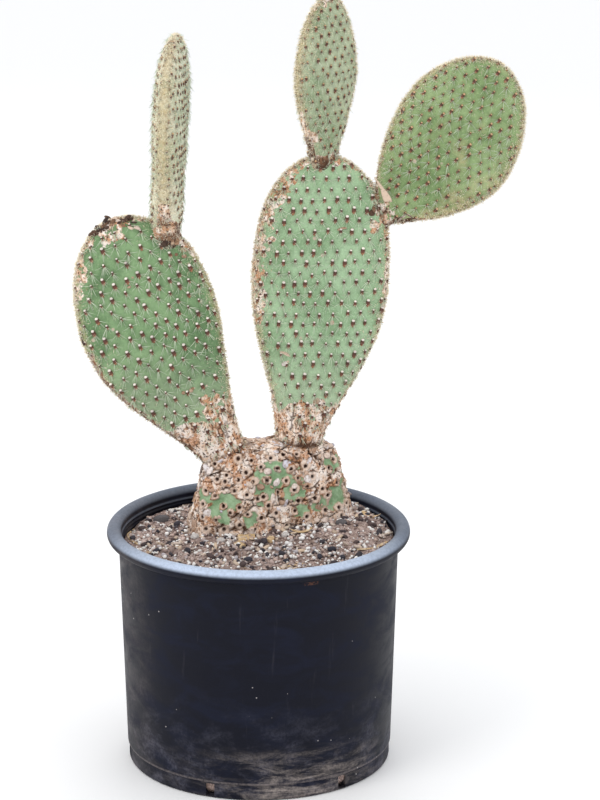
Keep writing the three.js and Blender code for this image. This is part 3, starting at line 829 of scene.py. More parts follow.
def trunk_finish(c):
    """Bark with green windows, pale rings round dark pits, and cracks."""
    n = Finish("trunk bark", 0.88, Specular_IOR_Level=0.25)
    bark, grain = bark_colour(n, c)
    speck = n.noise(1.5, 3, rough=0.7)
    green = n.mix(n.step(n.noise(9, 3), 0.35, 0.65), darker(c.sage_deep, 0.92), c.sage)
    green = n.mix(n.step(speck, 0.5, 0.75, 0, 0.4), green, darker(c.sage, 1.25))
    weather = n.noise(17, 4, rough=0.6)
    bark = n.mix(n.step(weather, 0.46, 0.38, 0, 0.6), bark, display(255, 244, 234))
    bark = n.mix(n.step(weather, 0.55, 0.64, 0, 0.6), bark, display(112, 78, 56))
    base = n.mix(n.layer("green"), bark, green)
    lip = n.times(n.layer("lip"), n.step(speck, 0.3, 0.6, 0.4, 1.0))
    base = n.mix(lip, base, display(160, 108, 76))
    base = n.mix(n.layer("ring"), base, n.mix(grain, display(200, 166, 140), display(240, 222, 208)))
    base = n.mix(n.layer("crevice"), base, c.crevice)
    base = n.mix(n.layer("pit"), base, display(52, 32, 26))
    soiled = n.times(n.layer("soil"), n.step(grain, 0.3, 0.6, 0.3, 1.0))
    base = n.mix(soiled, base, display(112, 88, 74))
    relief = n.math("ADD", n.times(speck, 0.2), grain)
    return n.end(base, n.bump(relief, 0.7, 0.9))


def tone_finish(name, along, tones, roughness=0.65):
    """A repeated shape: its colour runs along it, and each copy is lighter or
    darker by its own tone, from a darkest to a lightest share."""
    n = Finish(name, roughness)
    tone, place = n.palette()
    base = n.ramp(place, *along)
    shade = n.ramp(tone, *tones)
    return n.end(n.mix(1.0, base, shade, "MULTIPLY"))


def grey(value):
    """A grey from its linear value."""
    return (value, value, value)


# ------------------------------------------------------------------- paddles

# For each paddle: areole spacing, tuft size, rounds of spines at a tuft, hairs
# on the faces and along the edges, how far bark climbs from the neck, the
# width of the dry band at its left edge, right edge and tip and the share of
# the length where it starts, and round patches of bark (across, up, radius),
# across and up being shares of the node's box seen from the front.
PADDLES = {
    "left_paddle": dict(
        space=13.2, tuft=1.0, spines=8, face=0, edge=8500, bark=50, seed=11,
        band=(7, 5, 10, 0.66),
        patches=((0.2, 0.97, 17), (0.83, 0.24, 15), (0.6, 0.96, 15), (0.75, 0.86, 7)),
    ),
    "centre_paddle": dict(
        space=12.3, tuft=0.97, spines=8, face=0, edge=8800, bark=42, seed=23,
        band=(11, 4, 9, 0.34), patches=((1.0, 0.81, 17), (0.9, 0.76, 8), (0.22, 0.1, 14)),
    ),
    "right_paddle": dict(
        space=11.0, tuft=0.78, spines=6, face=4200, edge=7600, bark=29, seed=37,
        band=(0, 0, 0, 0.0), patches=((0.06, 0.1, 12), (0.42, 0.02, 5)),
    ),
    "crown_paddle": dict(
        space=9.4, tuft=0.7, spines=7, face=3600, edge=5600, bark=33, seed=41,
        band=(0, 0, 3, 0.0), patches=((0.5, 0.98, 6),),
    ),
    "upper_left_paddle": dict(
        space=9.2, tuft=0.7, spines=6, face=6000, edge=6400, bark=20, seed=53,
        band=(0, 0, 0, 0.0), patches=(),
    ),
}
LOW_PADDLES = ("left_paddle", "centre_paddle")
SKINS = {}  # each paddle's skin, kept for the marks on it


def areoles(skin, space, seed):
    """Rows and columns of the areoles: a slanted lattice on each face, and
    two staggered lines round the edge, all a little out of place."""
    random = np.random.default_rng(seed)
    rows, columns = [], []
    low, high = skin.height[0] + 6, skin.height[-1]
    wide = skin.size[:, 2].max() + 12
    for back in (False, True):
        levels = np.arange(0, (high - low) / space * 1.2 + 1)
        j, i = np.meshgrid(levels, np.arange(-14, 15), indexing="ij")
        across = (i + 0.5 * (j % 2) + (0.25 if back else 0)).ravel() * space
        height = (low + j * space * 0.84 + i * space * 0.08).ravel()
        height = height + random.normal(0, space * 0.055, height.shape)
        across = across + random.normal(0, space * 0.055, across.shape)
        drift = wavy(np.stack([across, height, 0 * height], -1), space * 5, seed + back, 1)
        across = across + drift * space * 0.3
        kept = (height > low) & (height < high - 2) & (np.abs(across) < wide)
        across, height = across[kept], height[kept]
        r = np.clip(skin.row_of(height).astype(int), 0, len(skin.height) - 1)
        kept = np.abs(across - skin.size[r, 0]) < skin.size[r, 2] - 4.5
        row, column = skin.face_rows(across[kept], height[kept], back)
        rows.append(row)
        columns.append(column)
    run = len(skin.height)
    step = space * 0.52 / np.linalg.norm(np.diff(skin.points[:, 0], axis=0), axis=1).mean()
    for side, lean in ((0, 0.32), (0, -0.32), (math.pi, 0.32), (math.pi, -0.32)):
        row = np.arange(random.uniform(3, 3 + step), run - 1, step * 1.6)
        row = row + random.normal(0, step * 0.12, row.shape)
        rows.append(row)
        columns.append(skin.column(side + lean + random.normal(0, 0.07, row.shape)))
    return np.concatenate(rows), np.concatenate(columns)


def dry_edge(skin, node, shape):
    """How dry the skin is, 0 to 1: along the sides of the oval, half as much
    at the tip, and on the right paddle also on its under side."""
    edge = rise(np.abs(np.cos(skin.angle))[None] + np.zeros(shape), 0.86, 1.0)
    tip = rise(np.broadcast_to(skin.share[:, None], shape), 0.9, 1.0) * 0.5
    edge = np.maximum(edge, tip)
    if node == "right_paddle":
        lean = -skin.normals[..., 2] - 0.3 * skin.normals[..., 0]
        edge = np.maximum(edge, rise(lean + 0.25 * wavy(skin.points, 18, 4, 2), 0.1, 0.6))
    return edge


def dry_band(skin, node, shake, from_edge):
    """The dry band along the edges and the round patches of bark, 0 to 1."""
    facts = PADDLES[node]
    left, right, top, start = facts["band"]
    side = np.where(np.cos(skin.angle)[None] > 0, right, left)
    band = side * rise(skin.share, start, start + 0.1)[:, None]
    band = np.maximum(band, top * rise(skin.share, 0.86, 0.94)[:, None])
    ragged = band + shake * 4.5 + wavy(skin.points, 26, facts["seed"], 2) * 5
    band = rise(ragged - from_edge, -2, 1.5) * (band > 0.5)
    for u, v, radius in facts["patches"]:
        spot = box_place(node, [u, 0, v])
        near = np.hypot(skin.points[..., 0] - spot[0], skin.points[..., 2] - spot[2])
        facing = rise(-skin.normals[..., 1], -0.7, -0.2)
        band = np.maximum(band, rise(radius + shake * 6 - near, -2, 2) * facing)
    return band


def paddle_surface(skin, node, areole_places):
    """The height to add to a paddle's skin, its material's layers, and how
    dry and how corky each point is.  The skin swells round each areole as
    exp(-(distance/(0.36*spacing))^2), and the bark is made of plates of cell
    noise with cracks between them."""
    facts = PADDLES[node]
    seed = facts["seed"]
    away, _ = nearest(skin.points, areole_places)
    climb = np.broadcast_to((skin.height - skin.height[0])[:, None], away.shape)
    edge = dry_edge(skin, node, away.shape)
    bark = facts["bark"] + wavy(skin.points, 30, seed, 3) * 18 + edge * 22
    cork = rise(bark - climb, -3, 3)
    shake = wavy(skin.points, 7, seed + 2, 2)
    turn = np.cos(skin.angle)[None]
    from_edge = skin.size[:, 2:3] * (1 - np.abs(turn) ** (2 / skin.power))
    from_edge = np.minimum(from_edge, (skin.height[-1] - skin.height)[:, None])
    band = dry_band(skin, node, shake, from_edge)
    local = (skin.points - skin.origin) @ skin.axes.T
    bent = local * [1, 1, 0.42] + shake[..., None] * 1.5
    _, gap, number = cells(bent, 5.5, seed)
    cracks = rise(-gap, -0.2, -0.02) * rise(wavy(bent, 9, seed + 4, 2), -0.15, 0.35)
    if node == "left_paddle":
        worn = rise(-skin.share, -0.62, -0.5)[:, None] * (turn < 0)
        dark = rise(3.5 + shake * 3.5 - from_edge, -1, 1) * worn
        band, cracks = np.maximum(band, dark), np.maximum(cracks, dark)
        cork = np.maximum(cork, dark * 0.8)
    # The seat is where the paddle meets its parent: the skin dips there, and the crevice layer paints
    # shade into the joint.
    seat = rise(-climb, -12, -5) * (0.6 + 0.4 * rise(shake, -0.3, 0.3))
    swell = 0.55 * np.exp(-((away / (facts["space"] * 0.36)) ** 2)) * facts["tuft"]
    swell = swell - 0.25 * np.exp(-((away / 1.7) ** 2))
    height = wavy(skin.points, 46, seed, 2) * 0.9 + swell * (1 - cork)
    height = height + cork * (0.35 + 0.7 * (number - 0.5) - 0.8 * cracks)
    height = height - seat * 0.8 + band * (0.25 + 0.3 * shake)
    brown = 0.75 * rise(-climb, -44, -30) * rise(shake, -0.7, 0.1) * (node not in LOW_PADDLES)
    return height, {
        "cork": np.maximum(cork, band * 0.6),
        # crevice: the bark's cracks, the brown of young necks, and painted shade at the seat.
        "crevice": np.clip(cork * cracks * 0.8 + seat + brown * cork, 0, 1),
        "edge": edge * 0.85,
        "halo": np.exp(-((away / (1.9 + 0.9 * facts["tuft"])) ** 2)) * 0.8 * (1 - cork),
    }, edge, cork


def paddle_spines(random, sizes, facts, places, axes, at_edge):
    """White spines: each leaves its tuft low and to one side of straight down,
    and those at the edge are shorter."""
    side, front, out = axes
    spines = []
    for _ in range(facts["spines"]):
        for bow in (0.10, -0.14):
            some = random.random(len(places)) < 0.5
            count = some.sum()
            swing = random.normal(0, 0.75, count)[:, None]
            down = -front[some] * np.cos(swing) + side[some] * np.sin(swing)
            to = down + out[some] * random.uniform(0.12, 0.5, (count, 1))
            reach = sizes.spine_length / MM * random.uniform(0.45, 1.0, count) * facts["tuft"] ** 0.5
            reach = reach * (1 - 0.6 * at_edge[some])
            shape = rod(3, bow, sizes.spine_width / sizes.spine_length * 1.3)
            roots = places[some] + out[some] * 0.6
            spines.append(spikes(random, shape, roots, axes_to(to, out[some]), reach))
    return spines


def paddle_hairs(random, sizes, facts, skin, cork):
    """Hairs: thickest along the two edges, and on young paddles also a
    thinner coat all over.  Few stand on bark."""
    hairs = []
    for count, on_edge in ((facts["edge"], True), (facts["face"], False)):
        if not count:
            continue
        row = random.uniform(0, len(skin.height) - 1, count)
        if on_edge:
            angle = random.choice([0, math.pi], count) + random.normal(0, 0.42, count)
        else:
            angle = random.uniform(0, 2 * math.pi, count)
        column = skin.column(angle)
        fits = random.random(count) > skin.spot_value(cork, row, column) * 0.7
        place, normal = skin.spot(row[fits], column[fits])
        to = normal + random.normal(0, 0.55, place.shape) - np.array([0, 0, 0.25]) + skin.axes[2] * 0.15
        reach = sizes.hair_length / MM * random.uniform(0.35, 1.0, len(place)) * (1.0 if on_edge else 0.75)
        for half, bow in ((0, 0.16), (1, -0.2)):
            s = slice(half, None, 2)
            shape = rod(2, bow, sizes.hair_width / sizes.hair_length * 1.5)
            axes = axes_to(to[s], np.roll(normal[s], 1, 1))
            hairs.append(spikes(random, shape, place[s], axes, reach[s]))
    return hairs


def make_paddle(context, node, finish):
    """The skin, tufts, spines and hairs of one paddle."""
    sizes, facts = context.scene.cactus_sizes, PADDLES[node]
    random = np.random.default_rng(facts["seed"])
    lowest = node in LOW_PADDLES
    neck = BIG_NECK if lowest else YOUNG_NECK
    skin = Skin(node, sizes.skin_pitch / MM, skip=neck, sink=NECK_SINK)
    rows, columns = areoles(skin, facts["space"], facts["seed"])
    height, layers, edge, cork = paddle_surface(skin, node, skin.spot(rows, columns)[0])
    skin.move(height * (1 - skin.drawn))
    SKINS[node] = skin
    piece = skin.to_piece(node + "_skin", finish, layers)
    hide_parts(node)

    places, normals = skin.spot(rows, columns)
    keep = skin.spot_value(cork, rows, columns) < 0.5
    keep |= random.random(len(rows)) < 0.55
    places, normals = places[keep], normals[keep]
    at_edge = skin.spot_value(edge, rows, columns)[keep]
    count = len(places)
    axes = axes_on(normals, np.broadcast_to(skin.axes[2], normals.shape))
    width = sizes.tuft_width / MM * facts["tuft"]
    scale = width * random.uniform(0.62, 1.24, (count, 1)) * np.array([[0.58, 0.74, 0.55]])
    scale = scale * (1 - 0.3 * (at_edge > 0.5))[:, None]
    tuft = repeat(TUFT[:3], places, axes, scale, random.random(count), TUFT[3])
    kinds = bpy.data.materials
    make_swarm(node + "_tufts", [tuft], kinds["bristle tufts" if lowest else "young tufts"])
    spines = paddle_spines(random, sizes, facts, places, axes, at_edge)
    make_swarm(node + "_spines", spines, kinds["white spines"])
    hairs = paddle_hairs(random, sizes, facts, skin, cork)
    make_swarm(node + "_hairs", hairs, kinds["golden hairs"])


def tuft_shape():
    """A tuft: a low dark lump, a pale cap on its upper side, and a fan of
    short bristles.  The last array says where each point is on the palette:
    0 tan at the lower side, 0.5 dark in the middle, 1 pale at the cap."""
    body, body_quads, body_tris = lump(7, 2, 0.15, 1)
    body = body * [0.9, 1.25, 0.85] + [0, -0.35, 0.1]
    cap, cap_quads, cap_tris = lump(6, 2, 0.1, 2)
    cap = cap * [0.82, 0.46, 0.6] + [0, 0.8, 0.5]
    parts = [(body, body_quads, body_tris), (cap, cap_quads, cap_tris)]
    tones = [0.42 + 0.1 * body[:, 1] - 0.2 * (body[:, 1] < -1.1), np.full(len(cap), 1.0)]
    for index in range(8):
        turn = index * 2.4
        spike, quads, tris = rod(1, 0, 0.26)
        lean = np.array([math.cos(turn) * 0.9, math.sin(turn) * 0.9 - 0.5, 0.75])
        side, front, out = axes_to(lean[None], np.array([[0.0, 1, 0]]))
        moved = spike[:, 0:1] * side + spike[:, 1:2] * front + spike[:, 2:3] * out * 1.9
        parts.append((moved + [0, -0.1, 0.1], quads, tris))
        tones.append(0.18 + 0.5 * spike[:, 2] * (math.sin(turn) > 0.2))
    points, quads, tris = join(parts)
    return points, quads, tris, np.concatenate(tones)


TUFT = tuft_shape()


class CACTUS_OT_finishes(bpy.types.Operator):
    """Makes the materials that the repeated shapes share"""

    bl_idname = "cactus.finishes"
    bl_label = "Shared finishes"

    def execute(self, context):
        c = context.scene.cactus_colours
        p = context.scene.pot_colours
        even = ((0.0, grey(0.72)), (1.0, grey(1.12)))
        for name, cap in (("bristle tufts", c.tuft_pale), ("young tufts", display(206, 168, 128))):
            tone_finish(
                name,
                (
                    (0.0, display(186, 142, 106)),
                    (0.22, display(168, 118, 84)),
                    (0.36, c.tuft),
                    (0.5, darker(c.tuft, 0.55)),
                    (0.62, darker(c.tuft, 1.3)),
                    (1.0, cap),
                ),
                even,
            )
        tone_finish("white spines", ((0.0, c.spine), (1.0, darker(c.spine, 0.95))), even, roughness=0.5)
        tone_finish(
            "golden hairs",
            ((0.0, darker(c.hair, 0.75)), (0.5, c.hair), (1.0, darker(c.hair, 1.15))),
            ((0.0, display(206, 172, 136)), (0.15, grey(0.95)), (1.0, grey(1.15))),
        )
        tone_finish(
            "soil crumbs",
            ((0.0, grey(0.8)), (1.0, grey(1.1))),
            (
                (0.0, display(46, 48, 60)),
                (0.14, display(70, 60, 62)),
                (0.3, p.soil_dark),
                (0.45, p.soil),
                (0.6, display(186, 162, 150)),
                (0.72, display(176, 172, 178)),
                (0.8, display(204, 180, 154)),
                (0.86, p.perlite),
                (1.0, display(244, 242, 240)),
            ),
            roughness=0.9,
        )
        return {"FINISHED"}


class CACTUS_OT_big_paddles(bpy.types.Operator):
    """Makes the two big paddles that grow from the trunk"""

    bl_idname = "cactus.big_paddles"
    bl_label = "Big paddles"

    def execute(self, context):
        c = context.scene.cactus_colours
        make_paddle(context, "left_paddle", paddle_finish("left skin", c, c.left, c.left_deep))
        make_paddle(context, "centre_paddle", paddle_finish("sage skin", c, c.sage, c.sage_deep))
        return {"FINISHED"}


class CACTUS_OT_upper_paddles(bpy.types.Operator):
    """Makes the three upper paddles"""

    bl_idname = "cactus.upper_paddles"
    bl_label = "Upper paddles"

    def execute(self, context):
        c = context.scene.cactus_colours
        olive = paddle_finish("olive skin", c, c.olive, c.olive_deep, 0.5)
        pale = paddle_finish("pale skin", c, c.pale, c.pale_deep, 0.5)
        make_paddle(context, "right_paddle", olive)
        make_paddle(context, "crown_paddle", pale)
        young = paddle_finish("young skin", c, c.young, c.young_deep, 0.5)
        make_paddle(context, "upper_left_paddle", young)
        return {"FINISHED"}


class CACTUS_OT_marks(bpy.types.Operator):
    """Makes the scars, scabs, dry flap and old cuts on the paddles"""

    bl_idname = "cactus.marks"
    bl_label = "Scars and scabs"

    # Paddle, across and up in shares of its box, half sizes along, across and
    # through, how rough, how many lumps and how far they spread, palette tones.
    MARKS = (
        ("left_paddle", 0.16, 0.965, (5.5, 3.0, 1.8), 0.6, 22, (13, 5), (0.0, 0.5)),
        ("left_paddle", 0.27, 0.992, (5.0, 2.4, 1.6), 0.6, 24, (16, 4), (0.0, 0.9)),
        ("left_paddle", 0.02, 0.52, (3.0, 7.0, 2.0), 0.4, 4, (2, 18), (0.1, 0.5)),
        ("crown_paddle", 0.5, 0.995, (5.0, 4.2, 3.0), 0.5, 7, (5, 2), (0.35, 0.95)),
        ("centre_paddle", 0.95, 0.86, (5.0, 6.0, 3.0), 0.5, 8, (3, 9), (0.2, 0.6)),
        ("centre_paddle", 0.985, 0.8, (4.5, 6.0, 3.5), 0.5, 8, (3, 8), (0.15, 0.6)),
        ("right_paddle", 0.03, 0.13, (5.0, 6.0, 3.0), 0.5, 7, (3, 8), (0.15, 0.55)),
        ("centre_paddle", 0.586, 0.438, (4.0, 4.4, 1.1), 0.25, 1, (0, 0), (0.7, 0.7)),
        ("centre_paddle", 0.25, 0.336, (6.0, 2.0, 1.2), 0.4, 2, (2, 1), (0.75, 0.95)),
        ("centre_paddle", 0.26, 0.30, (3.4, 2.2, 1.2), 0.4, 2, (3, 2), (0.75, 0.95)),
        ("centre_paddle", 0.664, 0.762, (5.6, 1.4, 1.0), 0.3, 2, (1, 1), (0.62, 0.72)),
        ("centre_paddle", 0.47, 0.165, (4.0, 4.5, 0.9), 0.45, 3, (7, 4), (0.55, 0.75)),
        ("left_paddle", 0.62, 0.86, (3.2, 2.6, 1.0), 0.45, 5, (12, 5), (0.45, 0.8)),
        ("left_paddle", 0.36, 0.74, (2.6, 2.2, 0.9), 0.45, 4, (16, 12), (0.45, 0.8)),
        ("left_paddle", 0.7, 0.33, (3.0, 2.6, 0.9), 0.45, 5, (12, 9), (0.5, 0.9)),
        ("upper_left_paddle", 0.5, 0.03, (4.2, 4.0, 2.4), 0.5, 10, (10, 6), (0.05, 0.9)),
    )

    def execute(self, context):
        n = Finish("scars", 0.9)
        tone, _ = n.palette()
        grain = n.noise(2.0, 4, rough=0.7)
        shade = n.ramp(
            tone,
            (0.0, display(44, 34, 32)),
            (0.3, display(92, 66, 50)),
            (0.55, display(158, 124, 96)),
            (0.8, display(214, 190, 168)),
            (1.0, display(226, 222, 226)),
        )
        base = n.mix(n.step(grain, 0.5, 0.3, 0, 0.7), shade, display(74, 52, 42))
        material = n.end(base, n.bump(grain, 0.6))
        random = np.random.default_rng(19)
        swarms = []
        for node, u, v, half, rough, count, spread, tones in self.MARKS:
            if node not in SKINS:
                raise RuntimeError(f"make {node} before its marks")
            skin = SKINS[node]
            spot = box_place(node, [u, 0, v])
            near = np.hypot(skin.points[..., 0] - spot[0], skin.points[..., 2] - spot[2])
            near = near + 400 * (skin.normals[..., 1] > 0.35)
            row, column = np.unravel_index(near.argmin(), near.shape)
            place, normal = skin.points[row, column], skin.normals[row, column]
            out = unit(normal + random.normal(0, 0.18, (count, 3)))
            side = np.cross([0, -1.0, 0], normal) if abs(normal[1]) < 0.7 else np.array([1.0, 0, 0])
            axes = axes_to(out, side + random.normal(0, 0.25, (count, 3)))
            shift = random.normal(0, 0.5, (count, 2)) * spread
            places = place + axes[0] * shift[:, :1] + axes[1] * shift[:, 1:] - normal * half[2] * 0.35
            size = random.uniform(0.6, 1.0, (count, 1)) * np.array([half]) * (0.75 if count > 3 else 1)
            for index in range(count):
                one = slice(index, index + 1)
                shape, turned = lump(10, 4, rough, index + 3), [a[one] for a in axes]
                swarms.append(repeat(shape, places[one], turned, size[one], random.uniform(*tones, 1)))
        make_swarm("paddle_scars", swarms, material)
        self.flap(material)
        return {"FINISHED"}

    def flap(self, material):
        """A thin dry flap: a pointed strip, 3.6*(1 - t**1.6) + 0.3 +
        0.4*sin(9*t) wide each way at t up its length, leaning 15*t to the left,
        swayed as 2*sin(2.5*t), curled forwards as 3*t*t, and 0.7 thick."""
        start = box_place("right_paddle", [0.1, 0.3, 0.18])
        rows, columns = 14, 10
        t = np.linspace(0, 1, rows)[:, None]
        turn = full_turn(columns)
        wide = 3.6 * (1 - t**1.6) + 0.3 + 0.4 * np.sin(9 * t)
        x = wide * np.cos(turn) - 15 * t + 2.0 * np.sin(2.5 * t)
        y = 0.35 * np.sin(turn) - 5 - 3 * t * t
        z = 25 * t + 0.6 * np.cos(turn) * np.sin(6 * t)
        points = start + np.stack([x, y, z], -1)
        quads, tris = ring_faces(rows, columns)
        points = np.concatenate([points.reshape(-1, 3), [points[0].mean(0), points[-1].mean(0)]])
        palette = np.full((len(points), 2), 0.8)
        make_piece("dry_flap", points, quads, tris, material, None, palette)


class CACTUS_OT_trunk(bpy.types.Operator):
    """Makes the old trunk with its bark, pits, green windows and flakes"""

    bl_idname = "cactus.trunk"
    bl_label = "Trunk"

    # Green windows in the front of the bark: across, over the soil, radius.
    WINDOWS = (
        (15, 66, 21), (6, 50, 14), (-35, 34, 18), (-52, 44, 10), (80, 38, 16),
        (36, 48, 14), (72, 70, 10), (43, 26, 10), (60, 30, 9), (-8, 22, 9),
    )

    def execute(self, context):
        sizes, c = context.scene.cactus_sizes, context.scene.cactus_colours
        random = np.random.default_rng(5)
        skin = Skin("trunk", sizes.trunk_pitch / MM, upright=True, floor=soil_level() - BARK_BELOW)
        away, _ = nearest(skin.points, self.pits(skin, random))
        bumps, layers = self.surface(skin, away)
        skin.move(bumps)
        piece = skin.to_piece("trunk_bark", trunk_finish(c), layers)
        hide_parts("trunk")
        self.flakes(skin, random)
        return {"FINISHED"}

    def pits(self, skin, random):
        """Places of the old areoles: a staggered lattice on each face and two
        lines at each side, all out of place."""
        low, top = skin.height[0] + 18, skin.height[-1]
        rows, columns = [], []
        for back in (False, True):
            j, i = np.meshgrid(np.arange(9), np.arange(-7, 8), indexing="ij")
            across = (i + 0.5 * (j % 2)).ravel() * 15.5 + random.normal(0, 2.2, i.size)
            height = low + j.ravel() * 11.5 + random.normal(0, 2.0, i.size)
            r = np.clip(skin.row_of(height).astype(int), 0, len(skin.height) - 1)
            kept = (height < top - 6) & (np.abs(across - skin.size[r, 0]) < skin.size[r, 2] - 6)
            row, column = skin.face_rows(across[kept], height[kept], back)
            rows.append(row)
            columns.append(column)
        for side in (0.35, -0.35, math.pi - 0.35, math.pi + 0.35):
            row = np.arange(12, len(skin.height) - 24, 14)
            row = row + random.normal(0, 2, row.shape)
            rows.append(row)
            columns.append(skin.column(side + random.normal(0, 0.12, row.shape)))
        return skin.spot(np.concatenate(rows), np.concatenate(columns))[0]

    def windows(self, skin, front, high):
        """How green each point is, over 0 inside a window: smooth noise behind,
        and in front the highest of 1.3*exp(-(distance/radius)^2) round each
        window's middle.  Both have a frayed edge."""
        base = skin.points
        fray = 0.4 * wavy(base, 8, 15, 3)
        behind = wavy(base, 30, 14, 2) + fray + 0.17
        shown = wavy(base, 30, 14, 2) * 0.3 + fray - 0.6
        for x, z, radius in self.WINDOWS:
            spot = np.hypot(base[..., 0] - x, high - z) / radius
            shown = np.maximum(shown, 1.3 * np.exp(-(spot**2)) - 0.62 + fray)
        return behind * (1 - front) + shown * front

    def surface(self, skin, away):
        """The height to add to the trunk's skin, and its material's layers:
        plates of coarse and fine cell noise with cracks between them, green
        windows with a raised lip, and a pale ring round each pit."""
        base = skin.points
        high = base[..., 2] - soil_level()
        front = rise(-skin.normals[..., 1], -0.2, 0.2)
        shake = wavy(base, 10, 2, 3)
        _, gap, number = cells(base * [1, 1, 1.9] + shake[..., None] * 5, 30, 8)
        cracks = rise(-gap, -0.08, -0.01) * rise(wavy(base, 24, 6, 2), -0.25, 0.15)
        _, fine_gap, fine_number = cells(base * [1, 1, 2.3] + shake[..., None] * 3, 10, 19)
        fine = rise(-fine_gap, -0.13, -0.01) * rise(wavy(base, 15, 7, 2), -0.1, 0.3)
        window = self.windows(skin, front, high)
        band = rise(high, 2, 7) * rise(9 * shake - high - 16 * (1 - front), -90, -72)
        green = rise(window * band - 0.9 * (1 - band), 0.0, 0.06)
        far = away + shake * 2.6 + 0.9 * wavy(base, 3.6, 27, 2)
        near_ring = rise(-far, -4.7, -4.0)
        rim = near_ring * (1 - rise(-far, -3.8, -3.1))
        lip = rise(window * band, -0.12, -0.02) * (1 - rise(window * band, 0.0, 0.06)) * band
        lip = np.maximum(lip, rim * (0.4 + 0.6 * green))
        green = green * (1 - near_ring)
        bare = 1 - green
        pit = rise(-away - shake * 0.5, -2.2, -1.3)
        ring = near_ring * (1 - rim) * (1 - pit) * 0.9
        bumps = wavy(base, 44, 3, 2) * 2.6 - 0.9 * green + 0.4 * lip + 0.9 * near_ring - 1.9 * pit
        plates = (number - 0.5) * 1.4 + (fine_number - 0.5) * 0.7 + 0.5 * wavy(base, 5, 9, 3)
        bumps = bumps + (plates - 2.8 * cracks - 0.8 * fine) * bare + 1.5 * rise(-high, -9, -1)
        return bumps, {
            "green": green,
            "lip": lip * 0.8,
            "ring": ring,
            "pit": pit,
            "crevice": np.clip((cracks + fine) * bare * (1 - ring), 0, 1),
            "soil": rise(-high, -16, -2) * rise(wavy(base, 8, 21, 2), -0.5, 0.4),
        }

    def flakes(self, skin, random):
        """Thin bleached scales that stand off the bark at small angles."""
        n = Finish("bleached scales", 0.7)
        tone, _ = n.palette()
        shade = n.ramp(
            tone,
            (0.0, display(206, 206, 222)),
            (0.3, display(240, 232, 228)),
            (0.6, display(222, 196, 176)),
            (1.0, display(150, 108, 80)),
        )
        material = n.end(n.mix(n.step(n.noise(2.5, 3), 0.4, 0.7, 0, 0.6), shade, display(150, 118, 96)))
        shape = lump(9, 2, 0.35, 4)
        count = 260
        row = random.uniform(len(skin.height) * 0.18, len(skin.height) * 0.93, count)
        column = random.uniform(0, skin.points.shape[1], count)
        place, normal = skin.spot(row, column)
        lean = unit(normal + random.normal(0, 0.24, normal.shape))
        axes = axes_to(lean, random.normal(0, 1, normal.shape))
        side = 1.2 + 4.2 * random.random(count) ** 2
        scale = np.stack([side, side * random.uniform(0.5, 0.9, count), 0.35 + 0 * side], -1)
        swarm = repeat(shape, place + normal * 0.5, axes, scale, random.random(count))
        make_swarm("bark_scales", [swarm], material)


# -------------------------------------------------------- soil, litter, pot


def soil_level():
    """Height of the soil at the pot's left and right, in millimetres."""
    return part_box("pot")[1].z / MM - SOIL_BELOW_RIM


def soil_height(x, y):
    """The soil's surface: level + 0.03*y + a mound that fades from the trunk's
    foot as exp(-2*(distance/70)^2) and is higher at its right end + ripples."""
    x_mid, y_mid, _ = box_place("trunk", 0.5)
    half_length, half_depth = TRUNK_HALF
    across = (x - x_mid) * math.cos(TRUNK_TURN) + (y - y_mid) * math.sin(TRUNK_TURN)
    through = (y - y_mid) * math.cos(TRUNK_TURN) - (x - x_mid) * math.sin(TRUNK_TURN)
    beyond = np.hypot(
        np.maximum(0, np.abs(across) - 0.8 * half_length), np.maximum(0, np.abs(through) - half_depth)
    )
    mound = 8.5 * np.exp(-2 * (beyond / 70) ** 2) * (1 + 0.5 * np.clip(across / half_length, -1, 1))
    ripple = np.sin(x * 0.11 + 1) * np.cos(y * 0.13) + np.sin((x - 2 * y) * 0.07)
    return soil_level() + 0.03 * y + mound + 0.9 * ripple


